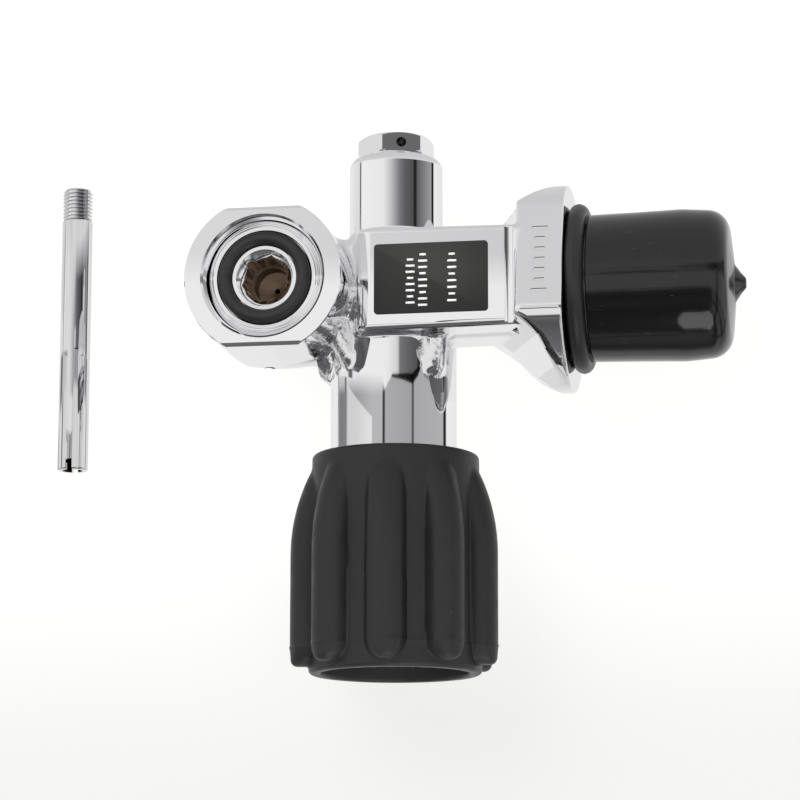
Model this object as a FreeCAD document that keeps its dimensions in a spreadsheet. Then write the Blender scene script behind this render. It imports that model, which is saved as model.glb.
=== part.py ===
import FreeCAD, Part
import math
import os
import re
import Sketcher

# Scuba cylinder valve with its loose dip tube, in millimetres. The valve lies on its back.
# +X runs along the threaded neck, +Y up the valve stem's axis away from the knob, +Z out of the
# outlet. Every size is measured from the point where the neck's axis crosses the stem's axis;
# the last section moves the whole assembly so that its origin is under the middle, on the table.

SIZES = {
    # outlet post
    "outlet_x": -21.4,
    "post_radius": 15.1,
    "post_half_height": 13.2,
    "post_edge": 0.6,
    "face_z": 21.4,
    "flats_end_z": -1.5,
    "flats_taper": 4.0,
    "back_end_radius": 9.0,
    "back_edge": 2.0,
    "back_z": -19.2,
    "dimple_radius": 4.0,
    "dimple_depth": 2.6,
    "vent_radius": 0.95,
    "vent_offset": 3.0,
    "vent_depth": 5.0,
    "recess_radius": 11.4,
    "recess_depth": 2.0,
    "insert_bore_radius": 11.05,
    "insert_seat_z": 6.0,
    "pocket_radius": 8.0,
    "pocket_depth": 4.0,
    # block between the post and the neck flange
    "block_half_width": 9.7,
    "block_front_z": 14.4,
    "block_back_z": -1.5,
    "block_edge": 1.6,
    # neck flange and threaded neck
    "shoulder_x": 24.9,
    "flange_face_x": 33.85,
    "flange_radius": 19.6,
    "flange_flat": 16.2,
    "flange_flat_tilt": 11.0,
    "neck_radius": 12.5,
    "neck_undercut_radius": 12.3,
    "neck_thread_start": 37.9,
    "throat_top_z": 7.0,
    "neck_end_x": 61.5,
    "neck_chamfer": 1.0,
    "port_radius": 2.6,
    "port_depth": 7.0,
    "passage_radius": 2.2,
    # burst disc stub and plug
    "stub_radius": 8.9,
    "stub_end_y": 25.5,
    "stub_edge": 1.5,
    "burst_bore_radius": 5.05,
    "burst_floor_y": 14.0,
    "burst_disc_thick": 0.4,
    "burst_disc_radius": 4.7,
    "gasket_thick": 0.8,
    "plug_shank_radius": 5.0,
    "plug_collar_radius": 6.0,
    "plug_collar_height": 1.4,
    "plug_across_flats": 12.7,
    "plug_hex_height": 3.7,
    "plug_turn": 18.7,
    # stem tower
    "tower_radius": 11.9,
    "tower_end": 38.0,
    "seat_start": 5.5,
    "seat_lip": 0.8,
    "seat_lip_radius": 3.2,
    "chamber_radius": 6.5,
    "chamber_end": 22.0,
    "bonnet_bore_radius": 9.0,
    "gas_way_y": -7.2,
    "gas_way_z": 3.5,
    "gas_way_radius": 1.4,
    # seat plug with its soft seat, and the stem
    "seat_insert_radius": 4.0,
    "seat_insert_thick": 2.6,
    "seat_nose_radius": 5.0,
    "seat_nose_start": 7.0,
    "seat_thread_start": 9.2,
    "seat_thread_radius": 6.45,
    "seat_plug_end": 16.8,
    "seat_slot_end": 11.0,
    "blade_start": 14.4,
    "blade_thick": 1.8,
    "blade_width": 8.0,
    "collar_start": 20.2,
    "collar_end": 21.2,
    "collar_radius": 5.6,
    "stem_radius": 4.0,
    "stem_clearance": 0.05,
    "stem_groove_start": 29.0,
    "stem_groove_end": 30.2,
    "stem_groove_radius": 3.0,
    "square_start": 47.0,
    "square_end": 53.8,
    "square_side": 6.0,
    "stem_thread_radius": 2.5,
    "stem_end": 67.6,
    # bonnet nut
    "bonnet_shank_radius": 8.95,
    "bonnet_nose_radius": 6.9,
    "bonnet_nose_end": 24.2,
    "bonnet_across_flats": 20.0,
    "bonnet_end": 43.0,
    # handwheel
    "knob_start": 31.0,
    "knob_end": 72.2,
    "knob_top_radius": 15.7,
    "knob_end_radius": 16.2,
    "knob_edge": 0.8,
    "skirt_radius": 12.7,
    "skirt_end": 48.5,
    "web_end": 55.0,
    "end_recess_radius": 13.9,
    "end_recess_floor_radius": 12.4,
    "rib_full": 50.0,
    "rib_end": 70.9,
    "rib_radius": 19.7,
    "rib_half_width": 4.15,
    "rib_bend": 27.75,
    "rib_bend_angle": 36.0,
    "rib_count": 9,
    "rib_turn": 3.4,
    "hub_radius": 8.0,
    "hub_start": 49.0,
    "hub_end": 54.0,
    "spring_wire": 0.6,
    "spring_radius": 4.6,
    "washer_start": 62.0,
    "washer_end": 63.0,
    "washer_radius": 6.5,
    "nut_end": 67.0,
    "nut_across_flats": 8.0,
    # O-rings: mean radius and section radius
    "neck_ring_radius": 14.3,
    "neck_ring_section": 1.765,
    "face_ring_radius": 7.49,
    "face_ring_section": 1.31,
    "inner_ring_radius": 9.52,
    "inner_ring_section": 0.89,
    "bonnet_ring_radius": 7.9,
    "bonnet_ring_section": 0.89,
    "stem_ring_section": 0.5,
    # outlet insert
    "insert_radius": 11.0,
    "insert_top_z": 19.4,
    "insert_nose_radius": 8.6,
    "insert_nose_length": 2.2,
    "groove_outer_radius": 8.9,
    "groove_inner_radius": 6.1,
    "groove_floor_z": 17.95,
    "hex_socket": 8.0,
    "hex_socket_depth": 7.4,
    "hex_socket_turn": 15.5,
    "insert_bore": 3.0,
    "socket_mouth_radius": 5.2,
    # thread cap
    "cap_start_x": 38.2,
    "cap_end_x": 64.4,
    "cap_radius": 13.85,
    "cap_end_radius": 14.3,
    "cap_inner_radius": 13.1,
    "cap_end_wall": 1.6,
    "cap_round": 4.0,
    "cap_tip_x": 66.5,
    "cap_tip_radius": 2.8,
    # dip tube
    "tube_x": -67.6,
    "tube_low_y": -29.2,
    "tube_high_y": 27.7,
    "tube_radius": 3.0,
    "tube_bore_radius": 1.9,
    "tube_thread_length": 6.4,
    "tube_thread_radius": 2.95,
    "tube_slot_width": 1.25,
    "tube_slot_depth": 2.0,
    # pressure label
    "label_x": 9.1,
    "label_length": 21.4,
    "label_height": 13.3,
    "label_thick": 0.25,
    "label_corner": 1.0,
}

X_AXIS = FreeCAD.Vector(1, 0, 0)
Y_AXIS = FreeCAD.Vector(0, 1, 0)
Z_AXIS = FreeCAD.Vector(0, 0, 1)
ORIGIN = FreeCAD.Vector(0, 0, 0)

# how a piece drawn along its own X is turned to lie along each axis of the valve
TURNED_TO = {
    "X": FreeCAD.Rotation(),
    "Y": FreeCAD.Rotation(Z_AXIS, 90),
    "Z": FreeCAD.Rotation(Y_AXIS, -90),
}
# how a primitive that stands along its own Z is turned to lie along each axis
STOOD_TO = {
    "X": FreeCAD.Rotation(Y_AXIS, 90),
    "Y": FreeCAD.Rotation(X_AXIS, -90),
    "Z": FreeCAD.Rotation(),
}

doc = FreeCAD.newDocument("CylinderValve")
sheet = doc.addObject("Spreadsheet::Sheet", "Sizes")
for row, (alias, number) in enumerate(SIZES.items(), start=1):
    sheet.set(f"A{row}", alias)
    sheet.set(f"B{row}", str(number))
    sheet.setAlias(f"B{row}", alias)
doc.recompute()

pieces = []


# ---------------------------------------------------------------- helpers
def formula(text):
    """An expression whose bare size names refer to the spreadsheet."""
    def in_sheet(match):
        word = match.group()
        return f"Sizes.{word}" if word in SIZES else word
    return re.sub(r"[A-Za-z_]\w*", in_sheet, str(text))


def bind(thing, **sizes):
    for prop, text in sizes.items():
        thing.setExpression(prop.replace("__", "."), formula(text))


def place(thing, rotation, x="0", y="0", z="0"):
    """Turns a piece, and binds where it stands to the spreadsheet."""
    thing.Placement = FreeCAD.Placement(ORIGIN, rotation)
    bind(thing, Placement__Base__x=x, Placement__Base__y=y, Placement__Base__z=z)
    return thing


def cylinder(name, axis, radius, low, high, x="0", y="0", z="0"):
    """A cylinder along an axis, from low to high on it, through the point x, y, z."""
    rod = doc.addObject("Part::Cylinder", name)
    bind(rod, Radius=radius, Height=f"({high}) - ({low})")
    at = {"X": x, "Y": y, "Z": z}
    at[axis] = low
    return place(rod, STOOD_TO[axis], at["X"], at["Y"], at["Z"])


def box(name, x, y, z):
    """A box from three (low, high) pairs."""
    block = doc.addObject("Part::Box", name)
    bind(block, Length=f"({x[1]}) - ({x[0]})", Width=f"({y[1]}) - ({y[0]})",
         Height=f"({z[1]}) - ({z[0]})")
    return place(block, FreeCAD.Rotation(), x[0], y[0], z[0])


def hexagon(name, axis, across_flats, low, high, turn=0.0, x="0"):
    """A hexagonal bar along an axis, turned about it by a fixed angle."""
    bar = doc.addObject("Part::Prism", name)
    bar.Polygon = 6
    bind(bar, Circumradius=f"({across_flats}) / sqrt(3)", Height=f"({high}) - ({low})")
    at = {"X": x, "Y": "0", "Z": "0"}
    at[axis] = low
    rotation = STOOD_TO[axis].multiply(FreeCAD.Rotation(Z_AXIS, turn))
    return place(bar, rotation, at["X"], at["Y"], at["Z"])


def ring(name, axis, mean_radius, section_radius, along, x="0"):
    """An O-ring about an axis, its mid-plane at a place along that axis."""
    torus = doc.addObject("Part::Torus", name)
    bind(torus, Radius1=mean_radius, Radius2=section_radius)
    at = {"X": x, "Y": "0", "Z": "0"}
    at[axis] = along
    return place(torus, STOOD_TO[axis], at["X"], at["Y"], at["Z"])


def fuse(name, *parts):
    union = doc.addObject("Part::MultiFuse", name)
    union.Shapes = list(parts)
    union.Refine = True
    return union


def cut(name, base, *tools):
    """The base with every tool taken out of it, as one cut."""
    doc.recompute()
    difference = doc.addObject("Part::Cut", name)
    difference.Base = base
    difference.Tool = tools[0] if len(tools) == 1 else fuse(f"{name}_tools", *tools)
    difference.Refine = True
    doc.recompute()
    if difference.Shape.Volume > base.Shape.Volume - 1e-3:
        raise ValueError(f"{name}: the cut removes nothing")
    return difference


def outline_sketch(sketch, points):
    """A closed outline of straight lines, every corner held by two bound dimensions."""
    corner_count = len(points)
    corners = [FreeCAD.Vector(*(sheet_value(t) for t in point), 0) for point in points]
    for i in range(corner_count):
        sketch.addGeometry(Part.LineSegment(corners[i], corners[(i + 1) % corner_count]), False)
    for i in range(corner_count):
        sketch.addConstraint(
            Sketcher.Constraint("Coincident", i, 2, (i + 1) % corner_count, 1))
    for i, point in enumerate(points):
        for kind, text in zip(("DistanceX", "DistanceY"), point):
            number = sketch.addConstraint(
                Sketcher.Constraint(kind, i, 1, sheet_value(text)))
            sketch.setExpression(f"Constraints[{number}]", formula(text))
    return sketch


def sheet_value(text):
    """The number that a formula gives now, for a sketch's first guess."""
    if isinstance(text, (int, float)):
        return float(text)
    return float(sheet.evalExpression(formula(text)))


def origin_plane(body, role):
    return next(f for f in body.Origin.OriginFeatures if f.Role == role)


def turned(name, axis, outline, x="0"):
    """A turned piece: an outline of (place along the axis, radius) points, spun round it."""
    body = doc.addObject("PartDesign::Body", name)
    sketch = body.newObject("Sketcher::SketchObject", f"{name}_outline")
    sketch.AttachmentSupport = (origin_plane(body, "XY_Plane"), [""])
    sketch.MapMode = "FlatFace"
    outline_sketch(sketch, outline)
    spin = body.newObject("PartDesign::Revolution", f"{name}_turning")
    spin.Profile = sketch
    spin.ReferenceAxis = (sketch, ["H_Axis"])
    spin.Angle = 360
    body.Tip = spin
    return place(body, TURNED_TO[axis], x)


def rounded(name, base, radius, wanted):
    """The base with every edge that wanted accepts rounded to one radius."""
    doc.recompute()
    size = sheet_value(radius)
    numbers = [i for i, edge in enumerate(base.Shape.Edges, start=1) if wanted(edge)]
    if not numbers:
        raise ValueError(f"{name}: no edge to round")
    fillet = doc.addObject("Part::Fillet", name)
    fillet.Base = base
    fillet.Edges = [(i, size, size) for i in numbers]
    return fillet


def piece(label, thing):
    """Marks a finished sub-part: its Label is its node's name."""
    thing.Label = label
    pieces.append(thing)
    return thing


def along(edge, direction):
    """True for a straight edge that runs along a direction."""
    if not isinstance(edge.Curve, Part.Line):
        return False
    return abs(edge.tangentAt(edge.FirstParameter).dot(direction)) > 0.999


# ---------------------------------------------------------------- valve body
def make_valve_body():
    # the post is round with two flats, and its back tapers to the screw dimple
    post_round = turned("post_round", "Z", [
        ("flats_end_z", 0),
        ("flats_end_z", "post_half_height"),
        ("flats_end_z + flats_taper", "post_radius"),
        ("face_z - post_edge", "post_radius"),
        ("face_z", "post_radius - post_edge"),
        ("face_z", 0),
    ], x="outlet_x")
    post_sides = box("post_sides", ("outlet_x - 20", "outlet_x + 20"),
                     ("-post_half_height", "post_half_height"), ("flats_end_z", "face_z"))
    post_front = doc.addObject("Part::Common", "post_front")
    post_front.Base = post_round
    post_front.Tool = post_sides
    post_back = turned("post_back", "Z", [
        ("back_z", 0),
        ("back_z", "back_end_radius - back_edge"),
        ("back_z + back_edge", "back_end_radius"),
        ("flats_end_z", "post_half_height"),
        ("flats_end_z", 0),
    ], x="outlet_x")

    # block: flat front and sides, half-round back
    block_front = box("block_front", ("outlet_x", "shoulder_x"),
                      ("-block_half_width", "block_half_width"),
                      ("block_back_z", "block_front_z"))
    block_rounded = rounded(
        "block_rounded", block_front, "block_edge",
        lambda edge: along(edge, X_AXIS) and edge.CenterOfMass.z > 1)
    block_back = cylinder("block_back", "X", "block_half_width", "outlet_x", "shoulder_x",
                          z="block_back_z")

    # flange: a disc cut in plan to a throat that opens from the block to its full radius
    throat = doc.addObject("Sketcher::SketchObject", "throat")
    upper = [
        ("shoulder_x - 5.6", "block_half_width"),
        ("shoulder_x - 2.7", "block_half_width + 1.8"),
        ("shoulder_x - 0.7", "block_half_width + 4.1"),
        ("shoulder_x + 2.1", "block_half_width + 6.8"),
        ("shoulder_x + 4.9", "flange_radius - 1"),
        ("shoulder_x + 5.9", "flange_radius"),
        ("flange_face_x", "flange_radius"),
    ]
    lower = [(x, f"-({y})") for x, y in reversed(upper)]
    outline_sketch(throat, upper + lower)
    throat_plate = doc.addObject("Part::Extrusion", "throat_plate")
    throat_plate.Base = throat
    throat_plate.DirMode = "Normal"
    throat_plate.Solid = True
    bind(throat_plate, LengthFwd="flange_radius", LengthRev="flange_radius")
    disc = cylinder("flange_disc", "X", "flange_radius", "shoulder_x", "flange_face_x")
    throat_root = box("throat_root", ("shoulder_x - 6", "shoulder_x"),
                      ("-flange_radius", "flange_radius"),
                      ("block_back_z - block_half_width", "throat_top_z"))
    flange_room = fuse("flange_room", disc, throat_root)
    flange = doc.addObject("Part::Common", "flange")
    flange.Base = throat_plate
    flange.Tool = flange_room

    # neck, stub for the burst disc, tower for the stem
    neck = turned("neck", "X", [
        ("shoulder_x", 0),
        ("shoulder_x", "neck_undercut_radius"),
        ("neck_thread_start", "neck_undercut_radius"),
        ("neck_thread_start", "neck_radius"),
        ("neck_end_x - neck_chamfer", "neck_radius"),
        ("neck_end_x", "neck_radius - neck_chamfer"),
        ("neck_end_x", 0),
    ])
    stub = turned("stub", "Y", [
        (0, 0),
        (0, "stub_radius"),
        ("stub_end_y - stub_edge", "stub_radius"),
        ("stub_end_y - 0.3 * stub_edge", "stub_radius - 0.3 * stub_edge"),
        ("stub_end_y", "stub_radius - stub_edge"),
        ("stub_end_y", 0),
    ])
    tower = cylinder("tower", "Y", "tower_radius", "-tower_end", "0")
    forging = fuse("forging", post_front, post_back, block_rounded, block_back, flange, neck,
                   stub, tower)

    # two parallel wrench flats across the flange
    wrench_flats = []
    for side in (1, -1):
        slab = doc.addObject("Part::Box", f"wrench_flat_{'front' if side > 0 else 'back'}")
        bind(slab, Length="flange_face_x - shoulder_x + 1", Width="4 * flange_radius",
             Height="flange_radius")
        tilt = FreeCAD.Rotation(X_AXIS, (0 if side > 0 else 180) - SIZES["flange_flat_tilt"])
        corner = tilt.multVec(FreeCAD.Vector(
            0, -2 * SIZES["flange_radius"], SIZES["flange_flat"]))
        place(slab, tilt, "shoulder_x - 0.5", corner.y, corner.z)
        wrench_flats.append(slab)

    # gas ways: in along the neck, across to the burst disc and the seat, out to the outlet
    neck_way = cylinder("neck_way", "X", "passage_radius", "0", "neck_end_x + 1")
    port = cylinder("dip_tube_port", "X", "port_radius", "neck_end_x - port_depth",
                    "neck_end_x + 1")
    burst_way = cylinder("burst_way", "Y", "passage_radius", "-seat_start - 1", "burst_floor_y + 1")
    burst_bore = cylinder("burst_bore", "Y", "burst_bore_radius", "burst_floor_y",
                          "stub_end_y + 1")
    chamber = turned("chamber", "Y", [
        ("-seat_start - seat_lip", 0),
        ("-seat_start - seat_lip", "seat_lip_radius"),
        ("-seat_start", "seat_lip_radius"),
        ("-seat_start", "chamber_radius"),
        ("-chamber_end", "chamber_radius"),
        ("-chamber_end", "bonnet_bore_radius"),
        ("-tower_end - 1", "bonnet_bore_radius"),
        ("-tower_end - 1", 0),
    ])
    gas_way = cylinder("gas_way", "X", "gas_way_radius", "outlet_x", "0", y="gas_way_y",
                       z="gas_way_z")
    outlet = turned("outlet_bore", "Z", [
        ("insert_seat_z - pocket_depth", 0),
        ("insert_seat_z - pocket_depth", "pocket_radius"),
        ("insert_seat_z", "pocket_radius"),
        ("insert_seat_z", "insert_bore_radius"),
        ("face_z - recess_depth", "insert_bore_radius"),
        ("face_z - recess_depth", "recess_radius"),
        ("face_z + 1", "recess_radius"),
        ("face_z + 1", 0),
    ], x="outlet_x")
    dimple = turned("dimple", "Z", [
        ("back_z - 0.1", 0),
        ("back_z - 0.1", "dimple_radius"),
        ("back_z", "dimple_radius"),
        ("back_z + dimple_depth", 0),
    ], x="outlet_x")
    vent = cylinder("post_vent", "Y", "vent_radius", "-post_half_height - 1",
                    "-post_half_height + vent_depth", x="outlet_x - vent_offset")
    return piece("valve_body", cut(
        "valve_body", forging, *wrench_flats, neck_way, port, burst_way, burst_bore, chamber,
        gas_way, outlet, dimple, vent))


# ---------------------------------------------------------------- outlet insert
def make_outlet_insert():
    blank = turned("insert_blank", "Z", [
        ("insert_seat_z", "insert_bore"),
        ("insert_seat_z", "insert_nose_radius"),
        ("insert_seat_z + insert_nose_length", "insert_nose_radius"),
        ("insert_seat_z + insert_nose_length", "insert_radius"),
        ("insert_top_z - 1", "insert_radius"),
        ("insert_top_z", "insert_radius - 1"),
        ("insert_top_z", "groove_outer_radius"),
        ("groove_floor_z", "groove_outer_radius"),
        ("groove_floor_z", "groove_inner_radius"),
        ("insert_top_z", "groove_inner_radius"),
        ("insert_top_z", "socket_mouth_radius"),
        ("insert_top_z - 0.7", "hex_socket / 2"),
        ("insert_top_z - 0.7", "insert_bore"),
    ], x="outlet_x")
    socket = hexagon("hex_socket_tool", "Z", "hex_socket", "insert_top_z - hex_socket_depth",
                     "insert_top_z + 1", SIZES["hex_socket_turn"], x="outlet_x")
    piece("outlet_insert", cut("outlet_insert", blank, socket))
    piece("insert_face_o_ring", ring(
        "insert_face_o_ring", "Z", "face_ring_radius", "face_ring_section",
        "groove_floor_z + face_ring_section", x="outlet_x"))
    piece("insert_inner_o_ring", ring(
        "insert_inner_o_ring", "Z", "inner_ring_radius", "inner_ring_section",
        "insert_seat_z + insert_nose_length / 2", x="outlet_x"))


# ---------------------------------------------------------------- burst disc assembly
def make_burst_disc():
    disc_top = "burst_floor_y + burst_disc_thick"
    gasket_top = f"{disc_top} + gasket_thick"
    piece("burst_disc", cylinder(
        "burst_disc", "Y", "burst_disc_radius", "burst_floor_y", disc_top))
    piece("burst_disc_gasket", turned("burst_disc_gasket", "Y", [
        (disc_top, "passage_radius"),
        (disc_top, "burst_disc_radius"),
        (gasket_top, "burst_disc_radius"),
        (gasket_top, "passage_radius"),
    ]))
    hex_low = "stub_end_y + plug_collar_height"
    hex_high = f"{hex_low} + plug_hex_height"
    shank = turned("plug_shank", "Y", [
        (gasket_top, 0),
        (gasket_top, "plug_shank_radius"),
        ("stub_end_y", "plug_shank_radius"),
        ("stub_end_y", "plug_collar_radius"),
        (f"{hex_low} + 1", "plug_collar_radius"),
        (f"{hex_low} + 1", 0),
    ])
    head_bar = hexagon("plug_head_bar", "Y", "plug_across_flats", hex_low, hex_high,
                       SIZES["plug_turn"])
    # the head's corners are turned down to a shallow cone
    head_turning = turned("plug_head_turning", "Y", [
        (hex_low, 0),
        (hex_low, "0.62 * plug_across_flats"),
        (f"{hex_high} - 0.8", "0.58 * plug_across_flats"),
        (hex_high, "0.48 * plug_across_flats"),
        (hex_high, 0),
    ])
    head = doc.addObject("Part::Common", "plug_head")
    head.Base = head_bar
    head.Tool = head_turning
    blank = fuse("plug_blank", shank, head)
    vent_y = sheet_value(f"{hex_low} + 0.47 * plug_hex_height")
    bore = cylinder("plug_bore", "Y", "passage_radius", f"{gasket_top} - 1",
                    f"{hex_low} + 0.7 * plug_hex_height")
    drilled = cut("plug_bored", blank, bore)
    # one drilling across the head makes the vents in its front and back flats
    angle = math.radians(SIZES["plug_turn"])
    direction = FreeCAD.Vector(math.sin(angle), 0, math.cos(angle))
    vent = doc.addObject("Part::Cylinder", "plug_vent")
    bind(vent, Radius="vent_radius", Height="2 * plug_across_flats")
    start = FreeCAD.Vector(0, vent_y, 0) - direction * SIZES["plug_across_flats"]
    vent.Placement = FreeCAD.Placement(start, FreeCAD.Rotation(Z_AXIS, direction))
    piece("burst_disc_plug", cut("plug_vented", drilled, vent))


# ---------------------------------------------------------------- stem, seat and bonnet
def make_stem_and_seat():
    piece("seat_insert", cylinder(
        "seat_insert", "Y", "seat_insert_radius", "-seat_start - seat_lip - seat_insert_thick",
        "-seat_start - seat_lip"))
    plug_blank = turned("seat_plug_blank", "Y", [
        ("-seat_nose_start", "seat_insert_radius"),
        ("-seat_nose_start", "seat_nose_radius"),
        ("-seat_thread_start", "seat_nose_radius"),
        ("-seat_thread_start", "seat_thread_radius"),
        ("-seat_plug_end", "seat_thread_radius"),
        ("-seat_plug_end", 0),
        ("-seat_start - seat_lip - seat_insert_thick", 0),
        ("-seat_start - seat_lip - seat_insert_thick", "seat_insert_radius"),
    ])
    slot_half = "blade_thick / 2 + 0.08"
    slot = box("seat_plug_slot", ("-chamber_radius", "chamber_radius"),
               ("-seat_plug_end - 1", "-seat_slot_end"), (f"-({slot_half})", slot_half))
    piece("seat_plug", cut("seat_plug", plug_blank, slot))

    shaft = turned("stem_shaft", "Y", [
        ("-collar_start", 0),
        ("-collar_start", "collar_radius"),
        ("-collar_end", "collar_radius"),
        ("-collar_end", "stem_radius"),
        ("-stem_groove_start", "stem_radius"),
        ("-stem_groove_start", "stem_groove_radius"),
        ("-stem_groove_end", "stem_groove_radius"),
        ("-stem_groove_end", "stem_radius"),
        ("-square_start", "stem_radius"),
        ("-square_start", "stem_thread_radius"),
        ("-stem_end", "stem_thread_radius"),
        ("-stem_end", 0),
    ])
    blade = box("stem_blade", ("-blade_width / 2", "blade_width / 2"),
                ("-collar_start - 0.5", "-blade_start"), ("-blade_thick / 2", "blade_thick / 2"))
    square = box("stem_square", ("-square_side / 2", "square_side / 2"),
                 ("-square_end", "-square_start + 0.5"), ("-square_side / 2", "square_side / 2"))
    piece("valve_stem", fuse("valve_stem", shaft, blade, square))

    piece("stem_washer", turned("stem_washer", "Y", [
        ("-collar_end", "stem_radius + 0.1"),
        ("-collar_end", "collar_radius"),
        ("-chamber_end", "collar_radius"),
        ("-chamber_end", "stem_radius + 0.1"),
    ]))
    piece("stem_o_ring", ring(
        "stem_o_ring", "Y", "stem_groove_radius + stem_ring_section", "stem_ring_section",
        "-(stem_groove_start + stem_groove_end) / 2"))

    bonnet_shank = turned("bonnet_shank", "Y", [
        ("-chamber_end", "stem_radius + stem_clearance"),
        ("-chamber_end", "bonnet_nose_radius"),
        ("-bonnet_nose_end", "bonnet_nose_radius"),
        ("-bonnet_nose_end", "bonnet_shank_radius"),
        ("-tower_end - 1", "bonnet_shank_radius"),
        ("-tower_end - 1", "stem_radius + stem_clearance"),
    ])
    bonnet_head = hexagon("bonnet_head", "Y", "bonnet_across_flats", "-bonnet_end", "-tower_end")
    head_bore = cylinder("bonnet_head_bore", "Y", "stem_radius + stem_clearance",
                         "-bonnet_end - 1", "-tower_end + 1")
    bored_head = cut("bonnet_bored_head", bonnet_head, head_bore)
    piece("bonnet_nut", fuse("bonnet_nut", bonnet_shank, bored_head))
    piece("bonnet_o_ring", ring(
        "bonnet_o_ring", "Y", "bonnet_ring_radius", "bonnet_ring_section",
        "-(chamber_end + bonnet_nose_end) / 2"))


# ---------------------------------------------------------------- handwheel
def make_handwheel():
    core = turned("knob_core", "Y", [
        ("-knob_start", 0),
        ("-knob_start", "knob_top_radius - knob_edge"),
        ("-knob_start - knob_edge", "knob_top_radius"),
        ("-knob_end + knob_edge", "knob_end_radius"),
        ("-knob_end", "knob_end_radius - knob_edge"),
        ("-knob_end", 0),
    ])
    # each rib is a round bar: it bends out of the core, runs straight and ends in half a ball
    ribs = []
    bar_x = "rib_radius - rib_half_width"
    bar_end = "-rib_end + rib_half_width"
    for i in range(SIZES["rib_count"]):
        bend = doc.addObject("Part::Torus", f"rib_bend_{i}")
        bind(bend, Radius1="rib_bend", Radius2="rib_half_width", Angle3="rib_bend_angle")
        place(bend, FreeCAD.Rotation(), f"{bar_x} - rib_bend", "-rib_full")
        bar = cylinder(f"rib_bar_{i}", "Y", "rib_half_width", bar_end, "-rib_full", x=bar_x)
        ball = doc.addObject("Part::Sphere", f"rib_ball_{i}")
        bind(ball, Radius="rib_half_width")
        place(ball, FreeCAD.Rotation(), bar_x, bar_end)
        rib = fuse(f"rib_{i}", bend, bar, ball)
        turn = -90 + SIZES["rib_turn"] + 360 / SIZES["rib_count"] * i
        rib.Placement = FreeCAD.Placement(ORIGIN, FreeCAD.Rotation(Y_AXIS, turn))
        ribs.append(rib)
    ribbed = fuse("knob_ribbed", core, *ribs)
    skirt_room = cylinder("knob_skirt_room", "Y", "skirt_radius", "-skirt_end",
                          "-knob_start + rib_half_width")
    hub_room = cylinder("knob_hub_room", "Y", "hub_radius", "-web_end - 1", "-skirt_end + 1")
    end_recess = turned("knob_end_recess", "Y", [
        ("-knob_end - 1", 0),
        ("-knob_end - 1", "end_recess_radius"),
        ("-knob_end", "end_recess_radius"),
        ("-web_end", "end_recess_floor_radius"),
        ("-web_end", 0),
    ])
    piece("knob", cut("knob", ribbed, skirt_room, hub_room, end_recess))

    hub_blank = turned("hub_blank", "Y", [
        ("-hub_start", 0),
        ("-hub_start", "hub_radius"),
        ("-hub_end", "hub_radius"),
        ("-hub_end", 0),
    ])
    half_hole = "square_side / 2 + 0.02"
    square_hole = box("hub_square_hole", (f"-({half_hole})", half_hole),
                      ("-hub_end - 1", "-hub_start + 1"), (f"-({half_hole})", half_hole))
    piece("knob_hub", cut("knob_hub", hub_blank, square_hole))

    # the spring's sleeve: the space that its coils fill from the hub to the washer
    piece("knob_spring", turned("knob_spring", "Y", [
        ("-hub_end", "spring_radius - spring_wire"),
        ("-hub_end", "spring_radius + spring_wire"),
        ("-washer_start", "spring_radius + spring_wire"),
        ("-washer_start", "spring_radius - spring_wire"),
    ]))

    piece("knob_washer", turned("knob_washer", "Y", [
        ("-washer_start", "stem_thread_radius + 0.1"),
        ("-washer_start", "washer_radius"),
        ("-washer_end", "washer_radius"),
        ("-washer_end", "stem_thread_radius + 0.1"),
    ]))
    nut_bar = hexagon("nut_bar", "Y", "nut_across_flats", "-nut_end", "-washer_end")
    nut_bore = cylinder("nut_bore", "Y", "stem_thread_radius + 0.02", "-nut_end - 1",
                        "-washer_end + 1")
    piece("knob_nut", cut("knob_nut", nut_bar, nut_bore))


# ---------------------------------------------------------------- neck, cap, tube and label
def make_neck_o_ring():
    piece("neck_o_ring", ring("neck_o_ring", "X", "neck_ring_radius", "neck_ring_section",
                              "flange_face_x + neck_ring_section + 0.02"))


def make_thread_cap():
    shell = turned("cap_shell", "X", [
        ("cap_start_x", "cap_inner_radius"),
        ("cap_start_x", "cap_radius"),
        ("cap_end_x", "cap_end_radius"),
        ("cap_end_x", "cap_tip_radius"),
        ("cap_tip_x", 0.4),
        ("cap_tip_x", 0),
        ("cap_end_x - cap_end_wall", 0),
        ("cap_end_x - cap_end_wall", "cap_inner_radius"),
    ])
    piece("thread_cap", rounded(
        "thread_cap", shell, "cap_round",
        lambda edge: isinstance(edge.Curve, Part.Circle)
        and abs(edge.Curve.Radius - SIZES["cap_end_radius"]) < 1e-6
        and abs(edge.CenterOfMass.x - SIZES["cap_end_x"]) < 1e-6))


def make_dip_tube():
    blank = turned("tube_blank", "Y", [
        ("tube_low_y", "tube_bore_radius"),
        ("tube_low_y", "tube_radius - 0.2"),
        ("tube_low_y + 0.2", "tube_radius"),
        ("tube_high_y - tube_thread_length", "tube_radius"),
        ("tube_high_y - tube_thread_length", "tube_thread_radius"),
        ("tube_high_y - 0.4", "tube_thread_radius"),
        ("tube_high_y", "tube_thread_radius - 0.4"),
        ("tube_high_y", "tube_bore_radius"),
    ])
    slot = box("tube_slot", ("-tube_slot_width / 2", "tube_slot_width / 2"),
               ("tube_low_y - 1", "tube_low_y + tube_slot_depth"),
               ("-2 * tube_radius", "2 * tube_radius"))
    return piece("dip_tube", cut("dip_tube", blank, slot))


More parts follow.
